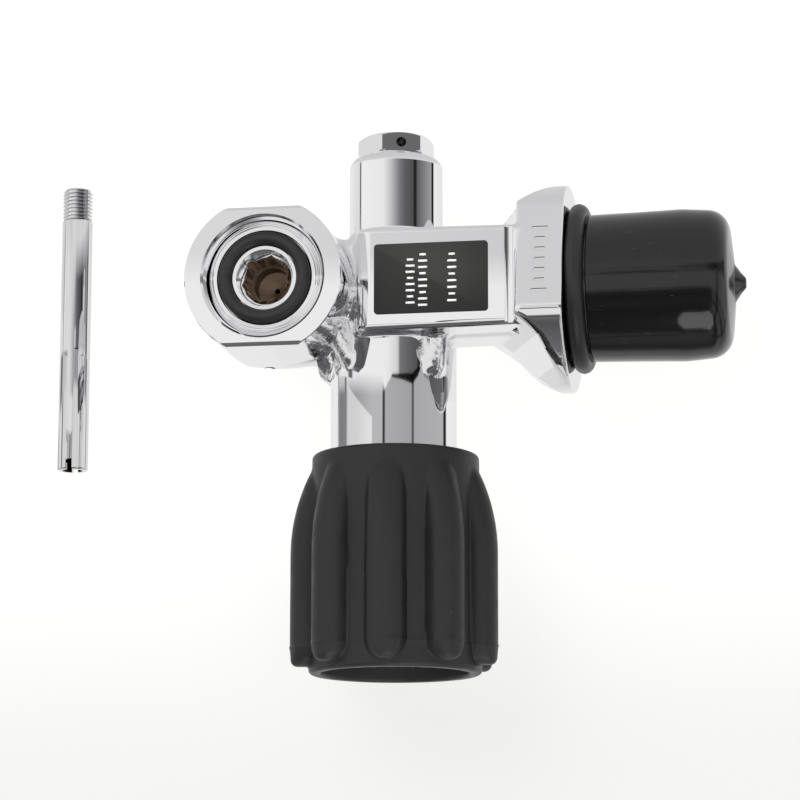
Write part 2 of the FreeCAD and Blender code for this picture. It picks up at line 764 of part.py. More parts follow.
def make_pressure_label():
    plate = box("label_plate",
                ("label_x - label_length / 2", "label_x + label_length / 2"),
                ("-label_height / 2", "label_height / 2"),
                ("block_front_z", "block_front_z + label_thick"))
    piece("pressure_label", rounded("pressure_label", plate, "label_corner",
                                    lambda edge: along(edge, Z_AXIS)))


# ---------------------------------------------------------------- assembly
make_valve_body()
make_outlet_insert()
make_burst_disc()
make_stem_and_seat()
make_handwheel()
make_neck_o_ring()
make_thread_cap()
dip_tube = make_dip_tube()
make_pressure_label()
doc.recompute()

# the valve rests on its lowest point, and the dip tube lies on the same table beside it
valve = Part.makeCompound([p.Shape for p in pieces if p is not dip_tube])
table_z = valve.optimalBoundingBox(False, False).ZMin
dip_tube.Placement.Base = FreeCAD.Vector(
    SIZES["tube_x"], 0, table_z + SIZES["tube_radius"])
doc.recompute()

# the origin goes under the middle of the whole assembly's box
bounds = Part.makeCompound([p.Shape for p in pieces]).optimalBoundingBox(False, False)
to_origin = FreeCAD.Vector(-bounds.Center.x, -bounds.Center.y, -bounds.ZMin)
for part in pieces:
    for path in [p for p, _ in part.ExpressionEngine if "Placement" in p]:
        part.setExpression(path.lstrip("."), None)
    part.Placement.Base = part.Placement.Base + to_origin
doc.recompute()
print("moved by", [round(v, 4) for v in to_origin])
print("size", [round(v, 2) for v in (bounds.XLength, bounds.YLength, bounds.ZLength)])

for thing in doc.Objects:
    if "Invalid" in thing.State or "Error" in thing.State:
        raise RuntimeError(f"{thing.Name} failed: {thing.State}")
for part in pieces:
    if part.Shape.isNull() or not part.Shape.isValid():
        raise RuntimeError(f"{part.Label}: its shape is not valid")

os.makedirs("parts", exist_ok=True)
for part in pieces:
    part.Shape.exportStep(f"parts/{part.Label}.step")
    print(f"{part.Label}: {part.Shape.Volume:.1f} mm3, {len(part.Shape.Solids)} solid")
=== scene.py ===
import cmath
import math
from itertools import product

import bmesh
import bpy
import numpy as np
from mathutils import Matrix, Vector


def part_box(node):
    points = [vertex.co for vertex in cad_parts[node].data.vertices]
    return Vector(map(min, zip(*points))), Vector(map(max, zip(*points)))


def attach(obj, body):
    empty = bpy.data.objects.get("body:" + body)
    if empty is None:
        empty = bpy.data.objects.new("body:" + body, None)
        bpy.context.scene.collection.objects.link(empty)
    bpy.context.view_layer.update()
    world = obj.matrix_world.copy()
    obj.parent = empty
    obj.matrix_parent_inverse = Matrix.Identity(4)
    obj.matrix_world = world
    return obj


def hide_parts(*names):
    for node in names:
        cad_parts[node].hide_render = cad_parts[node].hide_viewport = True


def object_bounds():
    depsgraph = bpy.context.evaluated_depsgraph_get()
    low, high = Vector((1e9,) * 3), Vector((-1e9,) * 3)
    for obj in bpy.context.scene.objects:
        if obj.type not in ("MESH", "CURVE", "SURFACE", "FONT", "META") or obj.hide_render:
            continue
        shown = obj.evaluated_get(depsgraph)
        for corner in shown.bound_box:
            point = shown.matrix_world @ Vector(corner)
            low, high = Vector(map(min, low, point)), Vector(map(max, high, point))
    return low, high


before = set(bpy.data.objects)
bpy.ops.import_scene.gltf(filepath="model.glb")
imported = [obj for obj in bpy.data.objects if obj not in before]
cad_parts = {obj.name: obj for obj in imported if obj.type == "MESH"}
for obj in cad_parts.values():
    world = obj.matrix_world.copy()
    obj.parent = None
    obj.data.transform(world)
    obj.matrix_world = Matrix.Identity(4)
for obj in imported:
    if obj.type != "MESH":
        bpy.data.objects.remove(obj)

CAD_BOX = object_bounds()

# Sizes below are in millimetres, measured from the point where the neck's axis (along X)
# crosses the stem's axis (along Y); Z points out of the outlet.
MM = 0.001


def middle(node):
    low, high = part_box(node)
    return (low + high) / 2


CENTRE = Vector((middle("burst_disc").x, middle("neck_o_ring").y, middle("neck_o_ring").z))
# the table, in metres: just under the valve
FLOOR_Z, FLOOR_HALF = CAD_BOX[0].z - 0.0004, 1.2

# outlet post
OUTLET_X = (middle("outlet_insert").x - CENTRE.x) / MM
POST_R, POST_HALF, FACE_Z = 15.1, 13.2, 21.4
FLATS_END, BACK_Z, BACK_R = -1.5, -19.2, 9.0
RECESS_R, RECESS_DEPTH = 11.35, 2.0
G58_R, G58_MINOR_R, G58_PITCH, G58_END = 11.45, 11.05, 1.814, 18.8
VENT_X, VENT_R, GAS_R = OUTLET_X - 3, 0.95, 2.2
# block, tower and stub
BLOCK_HALF, BLOCK_FRONT, BLOCK_MIDDLE = 9.7, 14.4, -1.5
BLOCK_TOP_X, BLOCK_TAPER = 9.0, 0.013
VALLEY_X, VALLEY_Z, VALLEY_ROUND = -5.6, 7.0, 3.4
TOWER_R, TOWER_END, STUB_R, STUB_END = 11.9, 38.0, 8.9, 26.5
# neck flange and thread
SHOULDER_X, FLANGE_X, FLANGE_R, FLANGE_FLAT = 24.9, 33.85, 19.6, 16.0
FLAT_TILT = math.radians(11.9)
THROAT_X = (-9.5, -7.2, -5.6, -2.7, -0.7, 2.1, 4.9, 5.9)
THROAT_Y = (6.5, 8.2, 9.3, 11.5, 13.8, 16.5, 18.6, 19.6)
THROAT_LEAN = 0.4
NECK_R, NECK_UNDERCUT_R, NECK_THREAD_START, NECK_END, NECK_PITCH = 12.5, 12.3, 37.9, 61.5, 2.0
# handwheel
KNOB_TOP, KNOB_END, KNOB_TOP_R, KNOB_END_R = 31.0, 72.2, 15.7, 16.2
RIB_R, RIB_HALF, RIB_BEND, RIB_FULL, RIB_END = 19.7, 4.15, 31.0, 50.0, 70.9
RIB_COUNT, RIB_TURN = 9, math.radians(3.4)
SKIRT_R, SKIRT_END, WEB_END, HUB_R, PARTING = 12.7, 48.5, 55.0, 8.0, 67.4
END_FLOOR_R, END_MOUTH_R = 12.4, 13.9
SPRING_R, SPRING_WIRE, SPRING_TOP, SPRING_END = 4.6, 0.6, 54.0, 62.0
# where the tower's rough root ends, and the webs beside it: start, end, radius
TOWER_SHIFT, ROOT_END = 0.4, 17.0
WEBS = (
    ((-15.5, -9.5, 4.0), (-11.3, -13.6, 1.5), 3.6),
    ((-9.8, -8.5, 9.0), (-7.3, -13.0, 8.1), 2.4),
    ((9.3, -9.0, 8.6), (8.6, -15.2, 7.3), 2.1),
)
# the scale on the wrench flat
TICKS, TICK_X, TICK_START, TICK_STEP = 7, 29.6, 5.4, 2.1
# outlet insert and burst disc plug: a flat of each hexagon is turned this many degrees
INSERT_TOP, SOCKET_FLATS, SOCKET_DEPTH, SOCKET_TURN = 19.4, 8.0, 7.4, 15.5
PLUG_FLATS, PLUG_LOW, PLUG_TOP, PLUG_VENT_Y, PLUG_TURN = 12.7, 26.9, 30.6, 28.64, 18.7
# dip tube
TUBE_R, TUBE_BORE_R, TUBE_PITCH, TUBE_SLOT = 3.0, 1.9, 0.75, 1.25

# printed bars on the label: place across, first bar, number and distance of bars
LABEL_COLUMNS = ((-3.85, 3.5, 8, 1.17), (-1.5, 4.4, 9, 1.2), (3.98, 4.3, 8, 1.26))

# the camera, in the same millimetres
CAMERA_PLACE = Vector((103.23, -132.84, 582.27))
CAMERA_BACK = Vector((0.1702, -0.1872, 0.9675))
CAMERA_UP = Vector((0.031, 0.9823, 0.1846))
CAMERA_LENS = 143.2


# ---------------------------------------------------------------- meshes
AXES = {
    # local x along the piece's axis, turned to each axis of the valve
    "X": Matrix.Identity(3),
    "Y": Matrix.Rotation(math.radians(90), 3, "Z"),
    "Z": Matrix.Rotation(math.radians(-90), 3, "Y"),
}


def placed(name, data):
    """A new object in the scene."""
    thing = bpy.data.objects.new(name, data)
    bpy.context.scene.collection.objects.link(thing)
    return thing


def new_mesh(name, points, faces):
    """A closed mesh object from points in millimetres round CENTRE."""
    mesh = bpy.data.meshes.new(name)
    places = np.asarray(points, dtype=float) * MM + np.array(CENTRE)
    mesh.from_pydata(places.tolist(), [], [list(f) for f in faces])
    mesh.validate()
    mesh.update()
    mesh.shade_smooth()
    thing = placed(name, mesh)
    outward(thing)
    return thing


def sharpen(thing, degrees=30.0):
    """Smooth shading that keeps every edge over an angle sharp."""
    thing.data.shade_smooth()
    thing.data.set_sharp_from_angle(angle=math.radians(degrees))
    return thing


def rounded_outline(corners, steps):
    """A closed outline in which a corner (along, radius, round) becomes an arc."""
    places = [complex(*corner[:2]) for corner in corners]
    points = []
    for i, (here, corner) in enumerate(zip(places, corners)):
        if len(corner) < 3:
            points.append(here)
            continue
        size = corner[2]
        to_last = places[i - 1] - here
        to_next = places[(i + 1) % len(places)] - here
        to_last, to_next = to_last / abs(to_last), to_next / abs(to_next)
        half = cmath.phase(to_next / to_last) / 2
        middle_way = to_last + to_next
        hub = here + middle_way / abs(middle_way) * size / math.sin(abs(half))
        first = here + to_last * size / math.tan(abs(half)) - hub
        turn = 2 * half - math.copysign(math.pi, half)
        points += [hub + first * cmath.exp(1j * turn * k / steps) for k in range(steps + 1)]
    return [(point.real, point.imag) for point in points]


def spot(axis, along, radius=0.0, angle=0.0):
    """A point at a distance along an axis and away from it, at an angle round it."""
    return AXES[axis] @ Vector((along, radius * math.cos(angle), radius * math.sin(angle)))


def lathe(name, axis, corners, at=(0, 0, 0), segments=128, steps=5):
    """A turned piece about an axis: its outline is a loop of (along, radius, round)."""
    points, faces, rows = [], [], []
    for along, radius in rounded_outline(corners, steps):
        if radius < 1e-6:
            rows.append([len(points)] * segments)
            points.append(spot(axis, along))
            continue
        rows.append(range(len(points), len(points) + segments))
        points += [spot(axis, along, radius, math.tau * k / segments) for k in range(segments)]
    for one, two in zip(rows, rows[1:] + rows[:1]):
        for k in range(segments):
            n = (k + 1) % segments
            face = [one[k], one[n], two[n], two[k]]
            face = [v for i, v in enumerate(face) if v != face[i - 1]]
            if len(set(face)) >= 3:
                faces.append(face)
    return sharpen(new_mesh(name, [p + Vector(at) for p in points], faces))


def solid(name, axis, corners, at=(0, 0, 0), segments=128):
    """A turned piece that is full to its axis, from the outside of its outline."""
    first, last = corners[0][0], corners[-1][0]
    return lathe(name, axis, [(first, 0), *corners, (last, 0)], at, segments)


def rod(name, axis, low, high, radius, at=(0, 0, 0), segments=128):
    """A plain round bar."""
    return solid(name, axis, [(low, radius), (high, radius)], at, segments)


def outward(thing):
    """Turns every face of a closed mesh to point out of it."""
    shape = bmesh.new()
    shape.from_mesh(thing.data)
    bmesh.ops.remove_doubles(shape, verts=shape.verts, dist=1e-8)
    bmesh.ops.recalc_face_normals(shape, faces=shape.faces)
    if shape.calc_volume(signed=True) < 0:
        bmesh.ops.reverse_faces(shape, faces=shape.faces)
    shape.to_mesh(thing.data)
    shape.free()


def threaded(name, axis, major, minor, pitch, corners, at=(0, 0, 0), segments=96):
    """A turned bar, its outline as for solid, with a helical thread cut into it."""
    profile = [(0.0, minor), (0.22, minor), (0.44, major), (0.56, major), (0.78, minor)]
    per_turn = len(profile)
    low = min(c[0] for c in corners) - 2 * pitch
    high = max(c[0] for c in corners) + 2 * pitch
    turns = int(math.ceil((high - low) / pitch))
    points = []
    for j in range((turns + 1) * per_turn):
        share, radius = profile[j % per_turn]
        for i in range(segments):
            along = low + pitch * (j // per_turn + share + i / segments)
            points.append(spot(axis, along, radius, math.tau * i / segments))

    def index(i, j):
        return (j + per_turn * (i // segments)) * segments + i % segments

    faces = []
    last = turns * per_turn - 1
    for j in range(last):
        for i in range(segments):
            faces.append([index(i, j), index(i + 1, j), index(i + 1, j + 1), index(i, j + 1)])
    for j in (0, last):
        ring = [index(i, j) for i in range(segments + 1)]
        ring += [index(0, j + k) for k in range(per_turn - 1, 0, -1)]
        hub = len(points)
        points.append(spot(axis, low + pitch * (j // per_turn + 0.5)))
        faces += [[hub, v, ring[(k + 1) % len(ring)]] for k, v in enumerate(ring)]
    used = sorted({v for f in faces for v in f})
    number = {v: k for k, v in enumerate(used)}
    bar = new_mesh(name, [points[v] + Vector(at) for v in used],
                   [[number[v] for v in f] for f in faces])
    combine(bar, "INTERSECT", solid("envelope", axis, corners, at, segments))
    return sharpen(bar, 20)


def block(name, low, high, turn=Matrix.Identity(3)):
    """A box between two corners, turned about its middle if asked."""
    low, high = Vector(low), Vector(high)
    mid = (low + high) / 2
    points = [turn @ (Vector(corner) - mid) + mid for corner in product(*zip(low, high))]
    faces = [(0, 1, 3, 2), (4, 6, 7, 5), (0, 4, 5, 1), (2, 3, 7, 6), (0, 2, 6, 4), (1, 5, 7, 3)]
    return new_mesh(name, points, faces)


def combine(thing, kind, *others):
    """Joins, cuts or trims a closed mesh with others, which are used up."""
    for other in others:
        step = thing.modifiers.new("combine", "BOOLEAN")
        step.operation = kind
        step.solver = "MANIFOLD"
        step.object = other
        bake(thing)
        bpy.data.objects.remove(other)


def bake(thing):
    """Replaces a mesh by itself with its modifiers applied."""
    bpy.context.view_layer.update()
    graph = bpy.context.evaluated_depsgraph_get()
    mesh = bpy.data.meshes.new_from_object(thing.evaluated_get(graph))
    thing.modifiers.clear()
    old = thing.data
    thing.data = mesh
    bpy.data.meshes.remove(old)
    mesh.name = thing.name


# ---------------------------------------------------------------- shapes given by a distance
def rounded_union(a, b, size):
    """The nearer of two shapes, with a hollow fillet of a radius where they meet."""
    u = np.maximum(size - a, 0)
    v = np.maximum(size - b, 0)
    return np.maximum(size, np.minimum(a, b)) - np.sqrt(u * u + v * v)


def rounded_overlap(a, b, size):
    """The overlap of two shapes, with edges rounded to a radius."""
    return -rounded_union(-a, -b, size)


def slopes(field, p, step=0.01):
    """The unit direction in which a field grows, at each point."""
    grad = np.empty_like(p)
    for i in range(3):
        ahead, behind = p.copy(), p.copy()
        ahead[:, i] += step
        behind[:, i] -= step
        grad[:, i] = (field(*ahead.T) - field(*behind.T)) / (2 * step)
    return grad


def skin(name, field, low, high, step):
    """A closed mesh where a field is zero, with its corners moved exactly onto it."""
    low = np.array(low, dtype=float)
    count = np.ceil((np.array(high) - low) / step).astype(int) + 1
    axes = [low[i] + step * np.arange(count[i]) for i in range(3)]
    values = np.empty(count)
    for i, x in enumerate(axes[0]):
        y, z = np.meshgrid(axes[1], axes[2], indexing="ij")
        values[i] = field(np.full(y.shape, x), y, z)
    inside = values < 0
    cells, places, quads = [], [], []
    stride = np.array([count[1] * count[2], count[2], 1])
    for axis in range(3):
        head = [slice(None)] * 3
        tail = [slice(None)] * 3
        head[axis], tail[axis] = slice(0, -1), slice(1, None)
        a, b = values[tuple(head)], values[tuple(tail)]
        crossing = np.argwhere(inside[tuple(head)] != inside[tuple(tail)])
        va, vb = a[tuple(crossing.T)], b[tuple(crossing.T)]
        place = crossing.astype(float)
        place[:, axis] += va / (va - vb)
        side, up = (axis + 1) % 3, (axis + 2) % 3
        corners = []
        for ds, du in ((0, 0), (-1, 0), (-1, -1), (0, -1)):
            cell = crossing.copy()
            cell[:, side] += ds
            cell[:, up] += du
            corners.append(cell @ stride)
            places.append(place)
        cells += corners
        quad = np.stack(corners, axis=1)
        quad[va > 0] = quad[va > 0][:, ::-1]
        quads.append(quad)
    cells, places, quads = np.concatenate(cells), np.concatenate(places), np.concatenate(quads)
    ids, which = np.unique(cells, return_inverse=True)
    total = np.bincount(which)
    points = np.stack([np.bincount(which, places[:, i]) / total for i in range(3)], axis=1)
    points = low + points * step
    for _ in range(3):
        grad = slopes(field, points)
        size = np.maximum((grad * grad).sum(axis=1), 0.05)
        move = -(field(*points.T) / size)[:, None] * grad
        points += np.clip(move, -step / 2, step / 2)
    faces = np.searchsorted(ids, quads)
    return new_mesh(name, points, faces.tolist())


def exact_normals(thing, field):
    """Shades every face that lies on a field by the field's own slope."""
    mesh = thing.data
    mesh.set_sharp_from_angle(angle=math.radians(28))
    points = np.empty(len(mesh.vertices) * 3)
    mesh.vertices.foreach_get("co", points)
    points = (points.reshape(-1, 3) - np.array(CENTRE)) / MM
    grad = slopes(field, points, 0.004)
    grad /= np.maximum(np.linalg.norm(grad, axis=1), 1e-9)[:, None]
    on_field = np.abs(field(*points.T)) < 0.02
    corner_vertex = np.empty(len(mesh.loops), dtype=int)
    mesh.loops.foreach_get("vertex_index", corner_vertex)
    normals = np.empty(len(mesh.loops) * 3)
    mesh.corner_normals.foreach_get("vector", normals)
    normals = normals.reshape(-1, 3)
    facing = (normals * grad[corner_vertex]).sum(axis=1) > 0.93
    use = on_field[corner_vertex] & facing
    normals[use] = grad[corner_vertex][use]
    mesh.normals_split_custom_set(normals.tolist())


# ---------------------------------------------------------------- valve body
def post_field(x, y, z):
    """The round post; its face and flats are cut afterwards."""
    across = np.hypot(x - OUTLET_X, y)
    taper = np.interp(z, (BACK_Z, FLATS_END, FLATS_END + 4), (BACK_R, POST_HALF - 0.12, POST_R))
    post = rounded_overlap(across - POST_R, across - taper, 0.8)
    post = np.maximum(post, z - FACE_Z - 1.5)
    return rounded_overlap(post, BACK_Z - z, 2.0)


def block_field(x, y, z):
    """Bar from the post to the flange; its front falls away into a valley at the post."""
    half = BLOCK_HALF + BLOCK_TAPER * (BLOCK_TOP_X - x)
    side = np.hypot(y - 0.2, np.minimum(z - BLOCK_MIDDLE, 0)) - half
    ends = np.maximum(OUTLET_X - x, x - SHOULDER_X - 1)
    low = np.maximum(rounded_overlap(side, z - VALLEY_Z, 2.0), ends)
    high = rounded_overlap(z - BLOCK_FRONT, VALLEY_X - x, VALLEY_ROUND)
    high = np.maximum(rounded_overlap(side, high, 1.0), ends)
    return rounded_union(low, high, 1.5)


def flange_field(x, y, z):
    """Disc with two wrench flats; its left side leans back from the front flat."""
    lean = THROAT_LEAN * np.clip(z + 2, 0, 20) * np.clip(-y / 4, 0, 1)
    throat = np.interp(np.abs(y), THROAT_Y, THROAT_X) + lean
    left = SHOULDER_X + np.maximum(throat, np.interp(z, (5.0, 9.0), (-12.0, 0.0)))
    flat = np.abs(z * math.cos(FLAT_TILT) + y * math.sin(FLAT_TILT)) - FLANGE_FLAT
    disc = rounded_overlap(np.hypot(y, z) - FLANGE_R, flat, 1.0)
    disc = rounded_overlap(disc, x - FLANGE_X, 0.6)
    return rounded_overlap(disc, (left - x) * 0.8, 1.1)


def web_field(x, y, z):
    """Rough cast webs beside the root of the tower: lumps along lines in the valve."""
    nearest = np.full(x.shape, 9.0)
    for start, end, size in WEBS:
        start, end = np.array(start), np.array(end)
        along = end - start
        share = sum((p - s) * d for p, s, d in zip((x, y, z), start, along))
        share = np.clip(share / (along @ along), 0, 1)
        gap = [p - s - share * d for p, s, d in zip((x, y, z), start, along)]
        nearest = np.minimum(nearest, np.sqrt(sum(g * g for g in gap)) - size)
    return nearest


def valve_field(x, y, z):
    """The forging: post, block, tower, stub, flange and plain neck in one skin."""
    tower = np.hypot(x + TOWER_SHIFT, z) - TOWER_R
    stub = np.maximum(np.hypot(x, z) - STUB_R, -y)
    stub = rounded_overlap(stub, y - STUB_END, 1.9)
    neck = np.maximum(np.hypot(y, z) - NECK_UNDERCUT_R,
                      np.maximum(SHOULDER_X - x, x - NECK_THREAD_START))
    body = rounded_union(post_field(x, y, z), block_field(x, y, z), 1.6)
    root = np.maximum(tower, np.maximum(y, -ROOT_END - y))
    body = rounded_union(body, root, 0.7)
    body = rounded_union(body, web_field(x, y, z), 1.2)
    body = rounded_union(body, stub, 1.6)
    body = rounded_union(body, flange_field(x, y, z), 0.5)
    turned_tower = rounded_overlap(np.maximum(tower, y), -TOWER_END - y, 0.4)
    return np.minimum(np.minimum(body, turned_tower), neck)


def flat_ticks():
    """A plain scale cut into the wrench flat: round grooves, longer ones at its ends."""
    turn = Matrix.Rotation(-FLAT_TILT, 3, "X")
    ticks = []
    for k in range(TICKS):
        half = 1.75 if k in (0, TICKS - 1) else 1.25
        place = turn @ Vector((TICK_X, TICK_START - TICK_STEP * k, FLANGE_FLAT + 0.38))
        ticks.append(solid(f"tick_{k}", "X", [
            (-half, 0.3), (0.3 - half, 0.55), (half - 0.3, 0.55), (half, 0.3)], place, 24))
    return ticks


def post_cuts():
    """Tools that leave the post's flat face with its chamfer, and its two side flats."""
    at = (OUTLET_X, 0, 0)
    face = solid("face_cut", "Z", [
        (FACE_Z, POST_R - 0.4), (FACE_Z - 0.45, POST_R + 0.05), (FACE_Z - 0.45, POST_R + 2),
        (FACE_Z + 3, POST_R + 2)], at, 192)
    corner = OUTLET_X + math.sqrt(POST_R ** 2 - POST_HALF ** 2)
    tools = [face]
    for side in (1, -1):
        low = POST_HALF if side > 0 else -POST_HALF - 4
        tools.append(block("flat_cut", (OUTLET_X - 18, low, FLATS_END - 6),
                           (corner, low + 4, FACE_Z + 2)))
        tools.append(block("edge_cut", (OUTLET_X - 18, side * POST_HALF - 0.45, FACE_Z - 0.45),
                           (corner, side * POST_HALF + 0.45, FACE_Z + 0.45),
                           Matrix.Rotation(math.radians(45), 3, "X")))
    return tools


def make_valve():
    """The forging with its threads, drillings, outlet recess and marks."""
    step = 0.36
    body = skin("valve_forging", valve_field, (-38, -40, -21), (39.5, 27.5, 23), step)
    neck = threaded("neck", "X", NECK_R, NECK_R - 1.15, NECK_PITCH, [
        (NECK_THREAD_START - 0.6, NECK_UNDERCUT_R - 0.4), (NECK_THREAD_START + 0.5, NECK_R),
        (NECK_END - 1.0, NECK_R), (NECK_END, NECK_R - 1.0)])
    combine(body, "UNION", neck)
    way = solid("way", "X", [(0, GAS_R), (54.5, GAS_R), (54.5, 2.6), (NECK_END + 1.5, 2.6)])
    cross = solid("cross", "Y", [
        (-40, 9.0), (-22, 9.0), (-22, 6.5), (-5.5, 6.5), (-5.5, 3.2), (-4.7, 3.2),
        (-4.7, GAS_R), (14, GAS_R), (14, 5.05), (27, 5.05)])
    gas_way = rod("gas_way", "X", OUTLET_X, 0, 1.4, (0, -7.2, 3.5), 32)
    at = (OUTLET_X, 0, 0)
    recess = solid("recess", "Z", [
        (17, G58_MINOR_R), (FACE_Z - RECESS_DEPTH, G58_MINOR_R), (FACE_Z - RECESS_DEPTH, RECESS_R),
        (FACE_Z - 0.4, RECESS_R), (FACE_Z + 0.2, RECESS_R + 0.6), (FACE_Z + 2, RECESS_R + 0.6)], at)
    bore = threaded("bore", "Z", G58_R, G58_MINOR_R, G58_PITCH, [
        (6, G58_MINOR_R), (7, G58_R), (G58_END, G58_R)], at)
    pocket = rod("pocket", "Z", 2, 8, 8, at)
    dimple = solid("dimple", "Z", [(BACK_Z - 1, 5.2), (BACK_Z + 2.6, 0.3)], at)
    vent = rod("vent", "Y", -15, -8.2, VENT_R, (VENT_X, 0, 0), 32)
    root_groove = rod("root_groove", "Y", -9.0, 9.2, 1.1, (SHOULDER_X - 1.2, 0, BLOCK_FRONT + 0.65))
    combine(body, "DIFFERENCE", *post_cuts())
    combine(body, "DIFFERENCE", way, cross, gas_way, recess, bore, pocket, dimple, vent)
    combine(body, "DIFFERENCE", root_groove, *flat_ticks())
    exact_normals(body, valve_field)
    return body


# ---------------------------------------------------------------- handwheel
def knob_field(x, y, z):
    """Drum with nine round ribs that bend into it, hollow at both ends."""
    s = -y
    r = np.hypot(x, z)
    outer = np.interp(s, (KNOB_TOP, KNOB_END), (KNOB_TOP_R, KNOB_END_R))
    drum = rounded_overlap(r - outer, np.abs(s - (KNOB_TOP + KNOB_END) / 2)
                           - (KNOB_END - KNOB_TOP) / 2, 0.8)
    sector = math.tau / RIB_COUNT
    a = np.arctan2(x, z) - RIB_TURN
    a = np.mod(a + sector / 2, sector) - sector / 2
    out, side = r * np.cos(a), r * np.sin(a)
    line_r = RIB_R - RIB_HALF
    arc = np.hypot(out - line_r + RIB_BEND, np.minimum(s - RIB_FULL, 0)) - RIB_BEND
    rib = np.hypot(arc, side) - RIB_HALF
    nose = np.hypot(side, np.maximum(s - RIB_END + RIB_HALF, 0)) - RIB_HALF
    rib = rounded_overlap(rib + 0.08 * np.clip(s - PARTING, 0, 2), nose, 1.3)
    rib = np.maximum(rib, KNOB_TOP + 1 - s)
    wheel = rounded_union(drum, rib, 0.3)
    parting = 0.11 * np.exp(-((s - PARTING) / 0.24) ** 2)
    skirt = np.maximum(r - SKIRT_R, s - SKIRT_END)
    end_r = np.interp(s, (WEB_END, KNOB_END), (END_FLOOR_R, END_MOUTH_R))
    teeth = 0.45 * np.clip(np.cos(24 * np.arctan2(x, z)) * 3, -1, 1)
    end_r = end_r - np.where(s < KNOB_END - 2.6, 0.6 + teeth, 0.0)
    end = np.maximum(r - end_r, WEB_END - s)
    hollow = np.minimum(np.minimum(skirt, end), r - HUB_R - 0.05)
    return rounded_overlap(wheel - parting, -hollow, 0.5)


def make_knob():
    step = 0.42
    knob = skin("knob_wheel", knob_field, (-20.5, -73, -20.5), (20.5, -30, 20.5), step)
    exact_normals(knob, knob_field)
    return knob


def make_spring():
    """Compression spring: closed coils at the ends, open between."""
    points, faces = [], []
    coils, around, steps = 6.5, 12, 40
    total = int(coils * steps)
    for i in range(total + 1):
        share = i / total
        a = math.tau * coils * share
        rise = np.interp(share, (0, 0.13, 0.87, 1), (0, 0.09, 0.91, 1))
        s = SPRING_TOP + SPRING_WIRE + (SPRING_END - SPRING_TOP - 2 * SPRING_WIRE) * rise
        out = Vector((math.cos(a), 0, math.sin(a)))
        for k in range(around):
            b = math.tau * k / around
            side = out * (SPRING_R + SPRING_WIRE * math.cos(b))
            points.append(side + Vector((0, -s + SPRING_WIRE * math.sin(b), 0)))
    for ring in range(0, total * around, around):
        for k in range(around):
            n = (k + 1) % around
            faces.append([ring + k, ring + n, ring + around + n, ring + around + k])
    faces.append(list(range(around))[::-1])
    faces.append([total * around + k for k in range(around)])
    return sharpen(new_mesh("spring_coils", points, faces), 50)


# ---------------------------------------------------------------- small turned pieces
def hex_bar(name, axis, flats, low, high, turn, at=(0, 0, 0)):
    """A six-sided prism; turn is a flat's angle from the local y axis, in degrees."""
    points = []
    for along in (low, high):
        for k in range(6):
            corner = spot(axis, along, flats / math.sqrt(3), math.radians(turn + 30 + 60 * k))
            points.append(corner + Vector(at))
    faces = [list(range(6)), list(range(6, 12))[::-1]]
    faces += [[k, (k + 1) % 6, (k + 1) % 6 + 6, k + 6] for k in range(6)]
    return new_mesh(name, points, faces)


def soften(thing):
    """Rounds the sharp edges of a mesh a little, so that they catch the light."""
    step = thing.modifiers.new("soften", "BEVEL")
    step.width = 0.12 * MM
    step.segments = 2
    step.limit_method = "ANGLE"
    step.angle_limit = math.radians(25)
    step.harden_normals = True


def make_insert():
    """Threaded insert: ring groove, turned lines, and a hexagon socket over a small bore."""
    at = (OUTLET_X, 0, 0)
    top = INSERT_TOP
    insert = threaded("insert_plug", "Z", 11.0, 10.35, G58_PITCH, [
        (6.0, 9.0), (8.2, 9.0), (8.2, 10.3), (8.9, 11.0), (top - 0.3, 11.0), (top, 10.75, 0.1)],
        at, 128)
    groove = lathe("groove", "Z", [
        (17.95, 6.1), (17.95, 8.9), (top - 0.25, 8.9), (top + 0.5, 9.3), (top + 0.5, 5.8),
        (top - 0.15, 6.1)], at)
    mouth = solid("mouth", "Z", [
        (top - 1.5, 4.0), (top - 0.3, 5.0), (top + 0.05, 5.45), (top + 0.5, 6.0)], at)
    bore = solid("insert_bore", "Z", [
        (5, 0.5), (top - 11.8, 0.5), (top - 11.2, 3.5), (top - 7.3, 3.5)], at, 64)
    socket = hex_bar("socket", "Z", SOCKET_FLATS, top - SOCKET_DEPTH, top + 1, SOCKET_TURN, at)
    combine(insert, "DIFFERENCE", groove, mouth, bore, socket)
    for radius, width in ((9.8, 0.14), (10.2, 0.1), (10.5, 0.1)):
        combine(insert, "DIFFERENCE", lathe("turned_line", "Z", [
            (top - width, radius), (top + width, radius + 2 * width),
            (top + width, radius - 2 * width)], at))
    return sharpen(insert, 25)


def make_plug():
    """Burst disc plug: collar and hexagon with a chamfered top and a cross vent."""
    low, top = PLUG_LOW, PLUG_TOP
    plug = hex_bar("burst_plug", "Y", PLUG_FLATS, low, top, 90 + PLUG_TURN)
    combine(plug, "INTERSECT", solid("chamfer", "Y", [
        (26, 7.0), (low, 6.75), (low + 0.4, 7.4), (top - 0.7, 7.4), (top, 6.2)]))
    combine(plug, "UNION", solid("collar", "Y", [
        (14.9, 4.9), (25.5, 4.9), (25.5, 6.0, 0.2), (27.0, 6.0)]))
    well = rod("well", "Y", 14, top - 1, GAS_R, segments=48)
    vent = rod("cross_vent", "X", -8, 8, VENT_R, segments=32)
    around = Matrix.Rotation(math.radians(PLUG_TURN - 90), 4, "Y")
    place = Matrix.Translation(CENTRE + Vector((0, PLUG_VENT_Y, 0)) * MM)
    vent.data.transform(place @ around @ Matrix.Translation(-CENTRE))
    combine(plug, "DIFFERENCE", well, vent)
    return sharpen(plug, 20)


